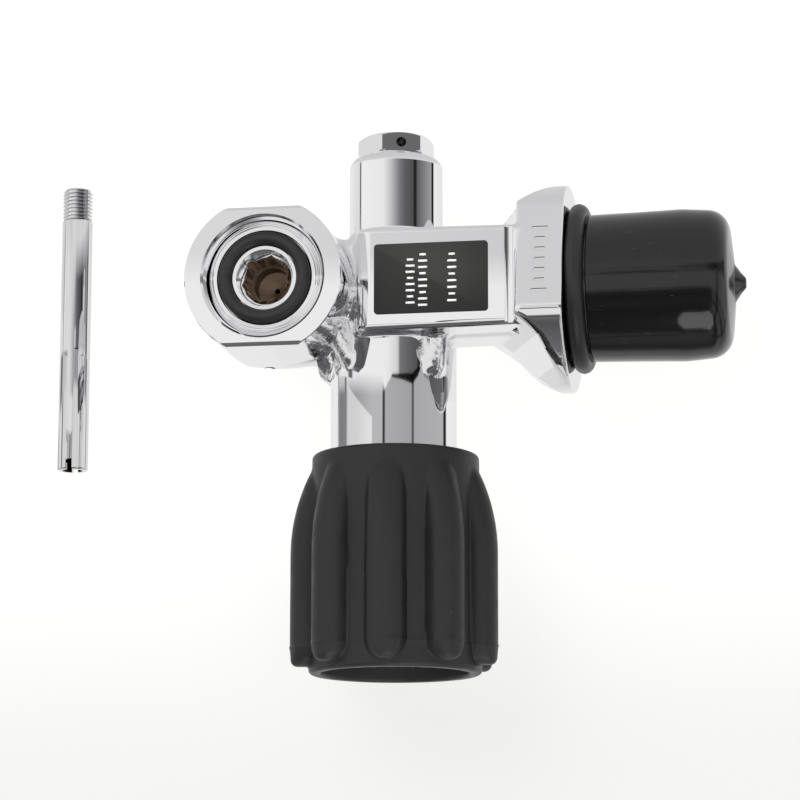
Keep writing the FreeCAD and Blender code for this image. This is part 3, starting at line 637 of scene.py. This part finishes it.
def make_cap():
    """Dipped vinyl cap: a thin sleeve with a domed end and a drip nipple, not quite true."""
    cap = lathe("vinyl_cap", "X", [
        (37.6, 13.1, 0.3), (37.6, 13.85, 0.3), (55.0, 14.28, 16.0), (63.3, 13.6, 4.2),
        (64.4, 3.6, 1.5), (65.6, 1.9, 1.5), (66.48, 0.9, 0.5), (66.48, 0), (62.6, 0),
        (62.6, 13.0, 3.2), (55.0, 13.1)],
        segments=160, steps=10)
    fine = cap.modifiers.new("fine", "SUBSURF")
    fine.subdivision_type = "SIMPLE"
    fine.levels = 2
    bake(cap)
    for v in cap.data.vertices:
        p = (v.co - CENTRE) / MM
        a = math.atan2(p.z, p.y)
        fade = np.clip((p.x - 40) / 12, 0, 1)
        wave = 0.07 * math.sin(2 * a + 0.12 * p.x) + 0.025 * math.sin(5 * a + 0.3 * p.x + 1)
        wave -= 0.04 + 0.02 * math.sin(0.45 * p.x + 3 * a)
        radius = math.hypot(p.y, p.z)
        if radius > 1:
            grow = 1 + wave * fade / radius * min(radius / 13, 1)
            v.co = CENTRE + Vector((p.x, p.y * grow, p.z * grow)) * MM
    return sharpen(cap, 40)


def make_tube():
    """Loose dip tube: thread at one end, a screwdriver slot across the other."""
    low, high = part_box("dip_tube")
    at = ((low + high) / 2 - CENTRE) / MM
    at.y = 0
    bottom, top = (low.y - CENTRE.y) / MM, (high.y - CENTRE.y) / MM
    tube = threaded("tube", "Y", TUBE_R - 0.05, 2.5, TUBE_PITCH, [
        (top - 6.8, 2.4), (top - 6.2, 2.9), (top - 0.6, 2.95), (top, 2.45)], at, 64)
    combine(tube, "UNION", solid("tube_shank", "Y", [
        (bottom, TUBE_R, 0.35), (top - 6.4, TUBE_R, 0.3), (top - 6.4, 2.3), (top - 5.0, 2.3)], at))
    bore = rod("tube_bore", "Y", bottom - 1, top + 1, TUBE_BORE_R, at, 64)
    slot = block("tube_slot", (at.x - TUBE_SLOT / 2, bottom - 1, at.z - 5),
                 (at.x + TUBE_SLOT / 2, bottom + 2, at.z + 5))
    combine(tube, "DIFFERENCE", bore, slot)
    return sharpen(tube, 25)


def make_o_ring(node, axis, flash=0.0):
    """A fine ring in the place of a CAD ring; flash is the height of its moulding line."""
    low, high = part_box(node)
    along = "XYZ".index(axis)
    across = 1 if along == 0 else 0
    section = (high[along] - low[along]) / 2 / MM
    ring_r = (high[across] - low[across]) / 2 / MM - section
    at = list(((low + high) / 2 - CENTRE) / MM)
    middle_at = at[along]
    at[along] = 0
    corners = []
    for k in range(40):
        a = math.tau * k / 40
        size = section if k in (0, 20) else section - flash
        corners.append((middle_at + size * math.sin(a), ring_r + size * math.cos(a)))
    return lathe(node + "_fine", axis, corners, at, 180)


def make_label():
    """Plate with rounded corners and its generic printed bars."""
    low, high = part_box("pressure_label")
    low, high = (low - CENTRE) / MM, (high - CENTRE) / MM
    plate = block("label_plate", low, high)
    shape = bmesh.new()
    shape.from_mesh(plate.data)
    upright = [e for e in shape.edges
               if abs(e.verts[0].co.z - e.verts[1].co.z) > 0.5 * (high.z - low.z) * MM]
    bmesh.ops.bevel(shape, geom=upright, offset=0.65 * MM, segments=6, affect="EDGES",
                    profile=0.5, clamp_overlap=True)
    shape.to_mesh(plate.data)
    shape.free()
    bars = []
    mid = (low + high) / 2
    for column, (across, first, count, pitch) in enumerate(LABEL_COLUMNS):
        for k in range(count):
            half = Vector((0.85 if k % 3 else 0.6, 0.2, 0.035))
            place = Vector((mid.x + across, mid.y + first - k * pitch, high.z - 0.015))
            bars.append(block(f"label_bar_{column}_{k}", place - half, place + half))
    return plate, bars


# ---------------------------------------------------------------- materials
class Nodes:
    """Builds a node tree, in which an input is a value or another node's output."""

    def __init__(self, tree):
        self.tree = tree
        tree.nodes.clear()

    def add(self, kind, inputs=None, **settings):
        node = self.tree.nodes.new(kind)
        for key, value in settings.items():
            setattr(node, key, value)
        for key, value in (inputs or {}).items():
            self.wire(node.inputs[key], value)
        return node

    def wire(self, socket, value):
        if isinstance(value, bpy.types.NodeSocket):
            self.tree.links.new(value, socket)
        elif socket.type == "RGBA":
            colour = (value,) * 3 if isinstance(value, float) else value
            socket.default_value = (*colour, 1)
        else:
            socket.default_value = value

    def math(self, operation, a, b=0.0):
        return self.add("ShaderNodeMath", {0: a, 1: b}, operation=operation).outputs[0]

    def plus(self, a, b):
        return self.math("ADD", a, b)

    def times(self, a, b):
        return self.math("MULTIPLY", a, b)

    def ramp(self, value, low, high, at_low=0.0, at_high=1.0, **settings):
        """Goes from one value to another as its input goes from low to high."""
        return self.add("ShaderNodeMapRange", {0: value, 1: low, 2: high, 3: at_low, 4: at_high},
                        **settings).outputs[0]


class Paint(Nodes):
    """A node material round one Principled shader, textured by the piece's own position."""

    def __init__(self, name, **inputs):
        self.material = bpy.data.materials.new(name)
        self.material.use_nodes = True
        super().__init__(self.material.node_tree)
        self.skin = self.add("ShaderNodeBsdfPrincipled", inputs)
        self.add("ShaderNodeOutputMaterial", {"Surface": self.skin.outputs[0]})
        shift = self.vector("ADD", self.add("ShaderNodeTexCoord").outputs["Object"], -CENTRE)
        self.place = self.add("ShaderNodeVectorMath", {0: shift, "Scale": 1 / MM},
                              operation="SCALE").outputs[0]

    def set(self, **inputs):
        for key, value in inputs.items():
            self.wire(self.skin.inputs[key.replace("_", " ")], value)
        return self

    def source(self, name):
        """What feeds one of the shader's inputs so far."""
        return self.skin.inputs[name].links[0].from_socket

    def vector(self, operation, a, b):
        return self.add("ShaderNodeVectorMath", {0: a, 1: b}, operation=operation).outputs[0]

    def stretched(self, *scale):
        """The place scaled along each axis: below 1 it draws a texture out."""
        return self.vector("MULTIPLY", self.place, scale)

    def noise(self, size, detail=3.0, place=None):
        """Smooth noise from 0 to 1 with lumps of a size in millimetres."""
        return self.add("ShaderNodeTexNoise", {
            "Vector": place or self.place, "Scale": 1 / size, "Detail": detail}).outputs[0]

    def band(self, value, low, high, at_low=0.0, at_high=1.0):
        """A ramp with soft ends."""
        return self.ramp(value, low, high, at_low, at_high, interpolation_type="SMOOTHSTEP")

    def axis(self, index):
        return self.add("ShaderNodeSeparateXYZ", {0: self.place}).outputs[index]

    def mix(self, factor, one, two):
        node = self.add("ShaderNodeMix", data_type="RGBA")
        self.wire(node.inputs[0], factor)
        self.wire(node.inputs[6], one)
        self.wire(node.inputs[7], two)
        return node.outputs[2]

    def specks(self, size, share, radius):
        """1 on rare dots: a share of the cells of a size, dots of a radius in millimetres."""
        cells = self.add("ShaderNodeTexVoronoi", {"Vector": self.place, "Scale": 1 / size})
        near = self.band(cells.outputs["Distance"], radius / size * 0.6, radius / size, 1, 0)
        colour = self.add("ShaderNodeSeparateColor", {0: cells.outputs["Color"]}).outputs[0]
        return self.times(near, self.math("LESS_THAN", colour, share))

    def bump(self, *heights):
        """Raises the surface by textures of a height in millimetres."""
        normal = None
        for height, size in heights:
            inputs = {"Height": height, "Distance": size * MM, "Strength": 1.0}
            if normal is not None:
                inputs["Normal"] = normal
            normal = self.add("ShaderNodeBump", inputs).outputs[0]
        return self.set(Normal=normal)


def reach(paint, point, keep=(1, 1, 1)):
    """Distance of the surface from a point, or from a line if an axis isn't kept."""
    gap = paint.vector("MULTIPLY", paint.vector("SUBTRACT", paint.place, point), keep)
    return paint.add("ShaderNodeVectorMath", {0: gap}, operation="LENGTH").outputs["Value"]


def chrome(name="chrome"):
    """Bright plating with faint clouds and fine polishing scratches."""
    paint = Paint(name, Metallic=1.0)
    clouds = paint.noise(9.0)
    scuffs = paint.band(paint.noise(0.5, 6.0, paint.stretched(1.0, 0.25, 1.0)), 0.58, 0.78)
    colour = paint.mix(clouds, (0.925, 0.93, 0.945), (0.95, 0.95, 0.955))
    rough = paint.plus(0.012, paint.times(scuffs, 0.014))
    return paint.set(Base_Color=colour, Roughness=rough)


def painted_hole_shade(paint, inside):
    """Rougher bare metal where inside is 1, its colour darkened to near black as painted shade in
    the hole.
    """
    return paint.set(
        Base_Color=paint.mix(inside, paint.source("Base Color"), (0.05, 0.038, 0.03)),
        Roughness=paint.plus(paint.source("Roughness"), paint.times(inside, 0.35)),
        Metallic=paint.band(inside, 0, 1, 1.0, 0.5))


def valve_finish():
    """Chrome, with a cast texture on the webs, and bare metal with painted shade inside the small
    vent.
    """
    paint = chrome()
    cast = 0.0
    for start, end, size in WEBS:
        mid = (Vector(start) + Vector(end)) / 2
        near = paint.band(reach(paint, mid), size + 2.2, size + 0.4)
        cast = paint.math("MAXIMUM", cast, near)
    # painted shade: the walls of the small vent are coloured near black
    vent = paint.times(paint.band(reach(paint, (VENT_X, 0, 0), (1, 0, 1)), 1.08, 0.98),
                       paint.math("LESS_THAN", paint.axis(1), 4 - POST_HALF))
    painted_hole_shade(paint, vent)
    valley = paint.band(reach(paint, (VALLEY_X - 3, 0, 8), (1, 0.3, 1)), 6.5, 4.0)
    dull = paint.math("MAXIMUM", paint.times(valley, 0.16), paint.times(cast, 0.1))
    paint.set(Roughness=paint.plus(paint.source("Roughness"), dull))
    lumps = paint.times(paint.noise(0.9, 4.0, paint.stretched(1.0, 0.5, 1.0)), cast)
    return paint.bump((lumps, 0.16))


def plug_finish():
    """Chrome, with bare metal and painted shade inside the cross vent and the well under it."""
    paint = chrome("plug_chrome")
    # painted shade: the cross vent and the well are coloured near black
    hole_shade_span = paint.times(paint.math("GREATER_THAN", paint.axis(1), PLUG_LOW + 0.3),
                        paint.math("LESS_THAN", paint.axis(1), PLUG_TOP - 0.6))
    near = paint.band(reach(paint, (0, 0, 0), (1, 0, 1)), 6.3, 6.2)
    return painted_hole_shade(paint, paint.times(hole_shade_span, near))


def raw_brass(paint):
    """Colour of the unplated brass inside the socket, with broach marks down its walls."""
    streaks = paint.band(paint.noise(0.55, 2.0, paint.stretched(1.0, 1.0, 0.06)), 0.42, 0.58)
    walls = paint.math("GREATER_THAN", paint.axis(2), INSERT_TOP - SOCKET_DEPTH + 0.05)
    streaks = paint.times(streaks, walls)
    clouds = paint.noise(1.6, 4.0)
    plain = paint.mix(clouds, (0.13, 0.085, 0.055), (0.25, 0.17, 0.115))
    broached = paint.mix(streaks, (0.045, 0.03, 0.02), (0.42, 0.31, 0.21))
    return paint.mix(paint.times(walls, 0.75), plain, broached), streaks


def insert_finish():
    """Plating with faint turning marks outside, raw brass inside."""
    paint = Paint("insert_chrome_and_brass", Metallic=1.0)
    radius = reach(paint, (OUTLET_X, 0, 0), (1, 1, 0))
    inside = paint.times(paint.band(radius, 4.75, 4.6),
                         paint.band(paint.axis(2), INSERT_TOP - 1.3, INSERT_TOP - 1.5))
    brass, streaks = raw_brass(paint)
    plating = paint.mix(paint.noise(4.0), (0.92, 0.925, 0.94), (0.95, 0.95, 0.955))
    rough = paint.plus(0.03, paint.times(inside, 0.24))
    turning = paint.math("SINE", paint.times(radius, 46.0))
    paint.set(Base_Color=paint.mix(inside, plating, brass), Roughness=rough,
              Metallic=paint.band(inside, 0, 1, 1.0, 0.6))
    return paint.bump((turning, 0.0004), (paint.times(streaks, inside), 0.03))


def tube_finish():
    """Chrome with draw marks along it, brown brass in its bore."""
    paint = chrome("tube_chrome")
    marks = paint.noise(0.5, 3.0, paint.stretched(1.0, 0.02, 1.0))
    low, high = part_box("dip_tube")
    axis_place = ((low + high) / 2 - CENTRE) / MM
    bore = paint.band(reach(paint, axis_place, (1, 0, 1)), TUBE_BORE_R + 0.2, TUBE_BORE_R + 0.1)
    drawn = paint.mix(marks, (0.62, 0.62, 0.64), 0.95)
    return paint.set(Base_Color=paint.mix(bore, drawn, (0.22, 0.12, 0.07)))


def metal(name, colour, rough):
    """Bare metal, clouded and finely grained."""
    paint = Paint(name, Metallic=1.0)
    clouds = paint.noise(2.5, 5.0)
    dark = [c * 0.72 for c in colour]
    paint.set(Base_Color=paint.mix(clouds, dark, colour),
              Roughness=paint.band(clouds, 0.2, 0.8, rough * 0.7, rough * 1.3))
    return paint.bump((paint.noise(0.25, 3.0), 0.003))


def rubber(name, level, rough, dust=0.03):
    """Black rubber, a little mottled, with a few specks of lint."""
    paint = Paint(name).set(Specular_IOR_Level=0.4)
    clouds = paint.noise(3.0, 5.0)
    colour = paint.mix(clouds, (level * 0.8, level * 0.8, level * 0.85),
                       (level * 1.3, level * 1.3, level * 1.32))
    lint = paint.specks(1.6, dust, 0.07)
    paint.set(Base_Color=paint.mix(lint, colour, 0.25),
              Roughness=paint.band(clouds, 0.3, 0.7, rough - 0.05, rough + 0.08))
    return paint.bump((paint.noise(0.22, 3.0), 0.006), (paint.noise(2.5, 2.0), 0.02))


def vinyl():
    """Glossy black vinyl, scuffed along the cap, with a few specks of lint."""
    paint = Paint("cap_vinyl")
    clouds = paint.noise(5.0, 3.0)
    scuff = paint.band(paint.noise(0.8, 6.0, paint.stretched(0.35, 1.0, 1.0)), 0.66, 0.74)
    lint = paint.specks(2.4, 0.06, 0.09)
    marks = paint.math("MAXIMUM", paint.times(scuff, 0.03), lint)
    paint.set(Base_Color=paint.mix(marks, (0.0035, 0.0035, 0.004), 0.5),
              Roughness=paint.plus(0.12, paint.times(scuff, 0.12)),
              IOR=1.55)
    return paint.bump((clouds, 0.02), (paint.noise(1.4, 3.0), 0.001))


def label_finish():
    paint = Paint("label_plate").set(Specular_IOR_Level=0.2)
    grain = paint.noise(0.18, 4.0)
    lint = paint.specks(2.0, 0.08, 0.06)
    paint.set(Base_Color=paint.mix(lint, (0.033, 0.033, 0.032), 0.3),
              Roughness=paint.band(grain, 0.3, 0.7, 0.6, 0.7))
    return paint.bump((grain, 0.002))


def print_finish():
    paint = Paint("label_print")
    paint.set(Base_Color=paint.mix(paint.noise(0.6, 4.0), (0.66, 0.66, 0.65),
                                   (0.86, 0.86, 0.85)), Roughness=0.5)
    return paint.bump((paint.noise(0.2, 3.0), 0.003))


def plastic(name, colour, rough):
    paint = Paint(name)
    clouds = paint.noise(2.0, 4.0)
    paint.set(Base_Color=paint.mix(clouds, [c * 0.85 for c in colour], colour),
              Roughness=paint.band(clouds, 0.3, 0.7, rough - 0.06, rough + 0.06))
    return paint.bump((paint.noise(0.3, 3.0), 0.004))


# ---------------------------------------------------------------- assembly
PAINTS = {
    "chrome": chrome("plain_chrome"),
    "o_ring_rubber": rubber("o_ring_rubber", 0.013, 0.36),
    "knob_rubber": rubber("knob_rubber", 0.0085, 0.42, 0.1),
    "cap_vinyl": vinyl(),
    "label_plate": label_finish(),
    "spring_steel": metal("spring_steel", (0.55, 0.55, 0.56), 0.28),
    "brass": metal("brass", (0.78, 0.57, 0.29), 0.22),
    "copper": metal("copper", (0.85, 0.46, 0.30), 0.22),
    "white_nylon": plastic("white_nylon", (0.78, 0.77, 0.73), 0.45),
}


def wear(thing, slot, paint=None):
    """Gives a piece its own paint or the one of its slot."""
    thing.data.materials.clear()
    thing.data.materials.append((paint or PAINTS[slot]).material)


plate, bars = make_label()
pieces = [
    (make_valve(), "chrome", "valve", "valve_body", valve_finish()),
    (make_plug(), "chrome", "valve", "burst_disc_plug", plug_finish()),
    (make_o_ring("neck_o_ring", "X", 0.07), "o_ring_rubber", "valve", "neck_o_ring"),
    (plate, "label_plate", "valve", "pressure_label"),
    (make_knob(), "knob_rubber", "handwheel", "knob"),
    (make_spring(), "spring_steel", "handwheel", "knob_spring"),
    (make_insert(), "chrome", "insert", "outlet_insert", insert_finish()),
    (make_o_ring("insert_face_o_ring", "Z"), "o_ring_rubber", "insert", "insert_face_o_ring"),
    (make_o_ring("insert_inner_o_ring", "Z"), "o_ring_rubber", "insert", "insert_inner_o_ring"),
    (make_cap(), "cap_vinyl", "cap", "thread_cap"),
    (make_tube(), "chrome", "loose_tube", "dip_tube", tube_finish()),
]
for thing, slot, body, node, *own_paint in pieces:
    wear(thing, slot, *own_paint)
    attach(thing, body)
    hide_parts(node)
INK = print_finish()
for bar in bars:
    wear(bar, "label_plate", INK)
    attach(bar, "valve")

# CAD pieces seen as they are, with the slot of each
KEPT = {
    "burst_disc": "copper", "burst_disc_gasket": "copper", "bonnet_nut": "brass",
    "bonnet_o_ring": "o_ring_rubber", "valve_stem": "brass", "stem_washer": "white_nylon",
    "stem_o_ring": "o_ring_rubber", "seat_plug": "brass", "seat_insert": "white_nylon",
    "knob_hub": "brass", "knob_washer": "spring_steel", "knob_nut": "chrome",
}
for name, slot in KEPT.items():
    wear(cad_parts[name], slot)
    soften(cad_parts[name])


# ---------------------------------------------------------------- studio
def world_light():
    """Studio seen in the chrome: softboxes, grey walls and dark gaps, by direction."""
    world = bpy.data.worlds.new("studio")
    bpy.context.scene.world = world
    world.use_nodes = True
    nodes = Nodes(world.node_tree)

    def blend(share, one, two):
        return nodes.add("ShaderNodeMix", {0: share, 2: one, 3: two}).outputs[0]

    def levels(value, low, high, stops):
        """Brightness along a value from low to high, through (value, level) stops."""
        colours = nodes.add("ShaderNodeValToRGB", {0: nodes.ramp(value, low, high)})
        colours.color_ramp.interpolation = "LINEAR"
        marks = colours.color_ramp.elements
        while len(marks) < len(stops):
            marks.new(0.5)
        for mark, (at, level) in zip(marks, stops):
            mark.position = (at - low) / (high - low)
            mark.color = (level, level, level, 1)
        return colours.outputs[0]

    way = nodes.add("ShaderNodeTexCoord").outputs["Generated"]
    across, height, front = nodes.add("ShaderNodeSeparateXYZ", {0: way}).outputs
    turn = nodes.times(nodes.math("ARCTAN2", across, front), 180 / math.pi)

    def round_about(stops):
        return levels(turn, -180, 180, stops)

    high = blend(nodes.ramp(height, *TOP_FROM), round_about(AROUND_HIGH), round_about(AROUND_TOP))
    high = blend(nodes.ramp(height, *SKY_FROM), high, SKY_LEVEL)
    # a lit panel on the left, its edge slanting down to the front
    past = nodes.math("SUBTRACT", turn, nodes.ramp(height, *PANEL_HEIGHTS, *PANEL_EDGE))
    low = nodes.plus(round_about(AROUND_LOW), nodes.times(
        levels(past, -60, 60, PANEL_LEVELS), round_about(PANEL_WIDTH)))
    low = blend(nodes.ramp(height, *FAR_FROM), low, round_about(AROUND_FAR))
    # between the two edges the room is dark in the middle
    edges = [levels(turn, -60, 140, [(stop[0], stop[i]) for stop in SPLIT_EDGES]) for i in (1, 2)]
    share = nodes.ramp(height, *edges)
    around = blend(share, low, high)
    gap = nodes.times(nodes.times(share, nodes.math("SUBTRACT", 1.0, share)), 12.0)
    gap = nodes.times(nodes.math("MINIMUM", gap, 0.98), levels(turn, -60, 140, GAP_WIDTH))
    around = nodes.times(around, nodes.math("SUBTRACT", 1.0, gap))
    upward = blend(round_about(SIDES_SHARE), levels(height, -1, 1, UPWARD),
                   levels(height, -1, 1, UPWARD_SIDES))
    level = nodes.times(around, nodes.math("MAXIMUM", upward, levels(front, -1, 1, BELOW)))
    tint = nodes.add("ShaderNodeMix", {0: level, 6: (0.97, 0.965, 1.0), 7: (1.0, 0.99, 0.985)},
                     data_type="RGBA").outputs[2]
    back = nodes.add("ShaderNodeBackground", {"Color": tint, "Strength": level})
    nodes.add("ShaderNodeOutputWorld", {"Surface": back.outputs[0]})


# Heights (the Y of a direction) at which one part of the room gives way to the next.
TOP_FROM, SKY_FROM, FAR_FROM, SKY_LEVEL = (0.222, 0.232), (0.3, 0.36), (0.15, 0.13), 0.85
# Brightness by angle from +Z towards +X: of the softboxes near the top, of those under
# them, of the greyer room below and of its far end.
RIGHT_SIDE = [(107, 0.36), (109, 0.01), (115, 0.01), (118, 0.9), (140, 0.85), (180, 0.82)]
AROUND_TOP = [
    (-180, 0.82), (-130, 0.85), (-92, 0.74), (-90.5, 0.03), (-88, 0.03), (-86, 0.9),
    (-22, 0.86), (-5, 0.6), (7, 0.38), (19, 0.2), (32, 0.12), (53, 0.08), (54.5, 0.02),
    (61, 0.02), (63, 0.12)] + RIGHT_SIDE
AROUND_HIGH = [
    (-180, 0.82), (-130, 0.9), (-92, 0.9), (-90.5, 0.03), (-88, 0.03), (-86, 0.9),
    (-5, 0.88), (12, 0.74), (18, 0.6), (20.5, 0.19), (34, 0.14), (53, 0.09), (54.5, 0.02),
    (61, 0.02), (63, 0.17)] + RIGHT_SIDE
AROUND_LOW = [
    (-180, 0.82), (-115, 0.9), (-111, 0.22), (-88, 0.24), (-84, 0.32), (-60, 0.36),
    (-30, 0.5), (-11, 0.5), (-9.5, 0.03), (-7, 0.03), (-5, 0.44), (42, 0.38), (44, 0.07),
    (46, 0.07), (48, 0.42), (112, 0.46), (114, 0.02), (120, 0.02), (123, 0.9), (180, 0.82)]
AROUND_FAR = [
    (-180, 0.85), (-128, 0.85), (-124, 0.12), (-118, 0.12), (-115, 0.9), (-84, 0.9), (-80, 0.15),
    (-74, 0.12), (-70, 0.85), (-50, 0.8), (60, 0.8), (66, 0.2), (72, 0.2), (76, 0.85),
    (120, 0.85), (126, 0.2), (132, 0.85), (180, 0.85)]
# by angle, the two heights between which the greyer room gives way to the softboxes
SPLIT_EDGES = [
    (-60, 0.189, 0.196), (-12, 0.189, 0.195), (-6, 0.1903, 0.1908), (0, 0.1926, 0.1931),
    (7, 0.1942, 0.1953), (25, 0.1935, 0.1955), (44, 0.1921, 0.1957), (55, 0.1945, 0.1975),
    (62, 0.198, 0.1985), (67, 0.1946, 0.195), (90, 0.1905, 0.1909), (116, 0.1865, 0.1869),
    (140, 0.1865, 0.1869)]
GAP_WIDTH = [(-60, 0), (5, 0), (7, 1), (62, 1), (64, 0), (140, 0)]
# the panel: heights and angles of its edge, brightness past the edge, and its width
PANEL_HEIGHTS, PANEL_EDGE = (0.182, 0.1925), (-28.0, -86.0)
PANEL_LEVELS = [(-60, 0.34), (-3, 0.32), (-1, -0.1), (1.5, 0), (60, 0)]
PANEL_WIDTH = [(-180, 0), (-86, 0), (-84, 1), (-14, 1), (-12, 0), (180, 0)]
# brightness by height: in the middle, at the sides, and where the two meet by angle
UPWARD_END = [(-0.24, 1.0), (0.32, 1.0), (0.5, 0.78), (1, 0.72)]
UPWARD = [(-1, 0.18), (-0.75, 0.11), (-0.6, 0.2), (-0.45, 0.09), (-0.34, 0.18)] + UPWARD_END
UPWARD_SIDES = [(-1, 0.5), (-0.85, 0.1), (-0.75, 0.75), (-0.62, 0.85), (-0.55, 0.1),
                (-0.48, 0.8), (-0.34, 0.6)] + UPWARD_END
SIDES_SHARE = [(-180, 1), (-80, 1), (-55, 0), (30, 0), (50, 1), (180, 1)]
# brightness by the Z of a direction, of the room behind the valve
BELOW = [(-1, 1.0), (-0.85, 0.9), (-0.6, 0.4), (-0.4, 0.05), (0, 0), (1, 0)]


def area_light(name, place, target, size, power, glossy=False, slots=()):
    """A round lamp; if slots are given, it lights the visual pieces of those only."""
    lamp = bpy.data.lights.new(name, "AREA")
    lamp.shape = "DISK"
    lamp.size = size
    lamp.energy = power
    thing = placed(name, lamp)
    thing.location = CENTRE + Vector(place) * MM
    aim = CENTRE + Vector(target) * MM - thing.location
    thing.rotation_euler = aim.to_track_quat("-Z", "Y").to_euler()
    thing.visible_glossy = glossy
    if slots:
        lit = bpy.data.collections.new(name + "_pieces")
        for piece, slot, *_ in pieces:
            if slot in slots:
                lit.objects.link(piece)
        thing.light_linking.receiver_collection = lit


def floor():
    """A pale table that gives its own light, fading a little to the front."""
    mesh = bpy.data.meshes.new("floor")
    corners = [(x * FLOOR_HALF, y * FLOOR_HALF, 0) for x, y in ((-1, -1), (1, -1), (1, 1), (-1, 1))]
    mesh.from_pydata(corners, [], [(0, 1, 2, 3)])
    thing = placed("floor", mesh)
    thing.location = (CENTRE.x, CENTRE.y, FLOOR_Z)
    paint = Paint("light_table")
    paint.set(Base_Color=paint.mix(paint.noise(60), 0.09, 0.1),
              Roughness=0.9, Emission_Color=(1.0, 0.998, 0.975),
              Emission_Strength=paint.band(paint.axis(1), -112, -48, 0.77, 0.94))
    mesh.materials.append(paint.material)
    thing.visible_glossy = False


def camera():
    """The camera, its up made square to its line of sight."""
    lens = bpy.data.cameras.new("camera")
    lens.lens = CAMERA_LENS
    lens.sensor_width = 36
    lens.clip_start, lens.clip_end = 0.01, 10
    thing = placed("camera", lens)
    back = CAMERA_BACK.normalized()
    right = CAMERA_UP.cross(back).normalized()
    up = back.cross(right)
    frame_turn = Matrix((right, up, back)).transposed().to_4x4()
    thing.matrix_world = Matrix.Translation(CENTRE + CAMERA_PLACE * MM) @ frame_turn
    bpy.context.scene.camera = thing


world_light()
area_light("key", (-250, 260, 520), (0, 0, 0), 0.5, 4.0)
area_light("fill", (300, -200, 480), (0, 0, 0), 0.5, 2.0)
area_light("low_lamp", (150, -440, 165), (40, -20, 0), 0.26, 0.3, True,
           ("cap_vinyl", "knob_rubber", "o_ring_rubber"))
area_light("mouth_lamp", (40, -420, 120), (0, -60, 0), 0.3, 3.0, slots=("knob_rubber",))
floor()
camera()
bpy.context.scene.view_settings.view_transform = "Standard"
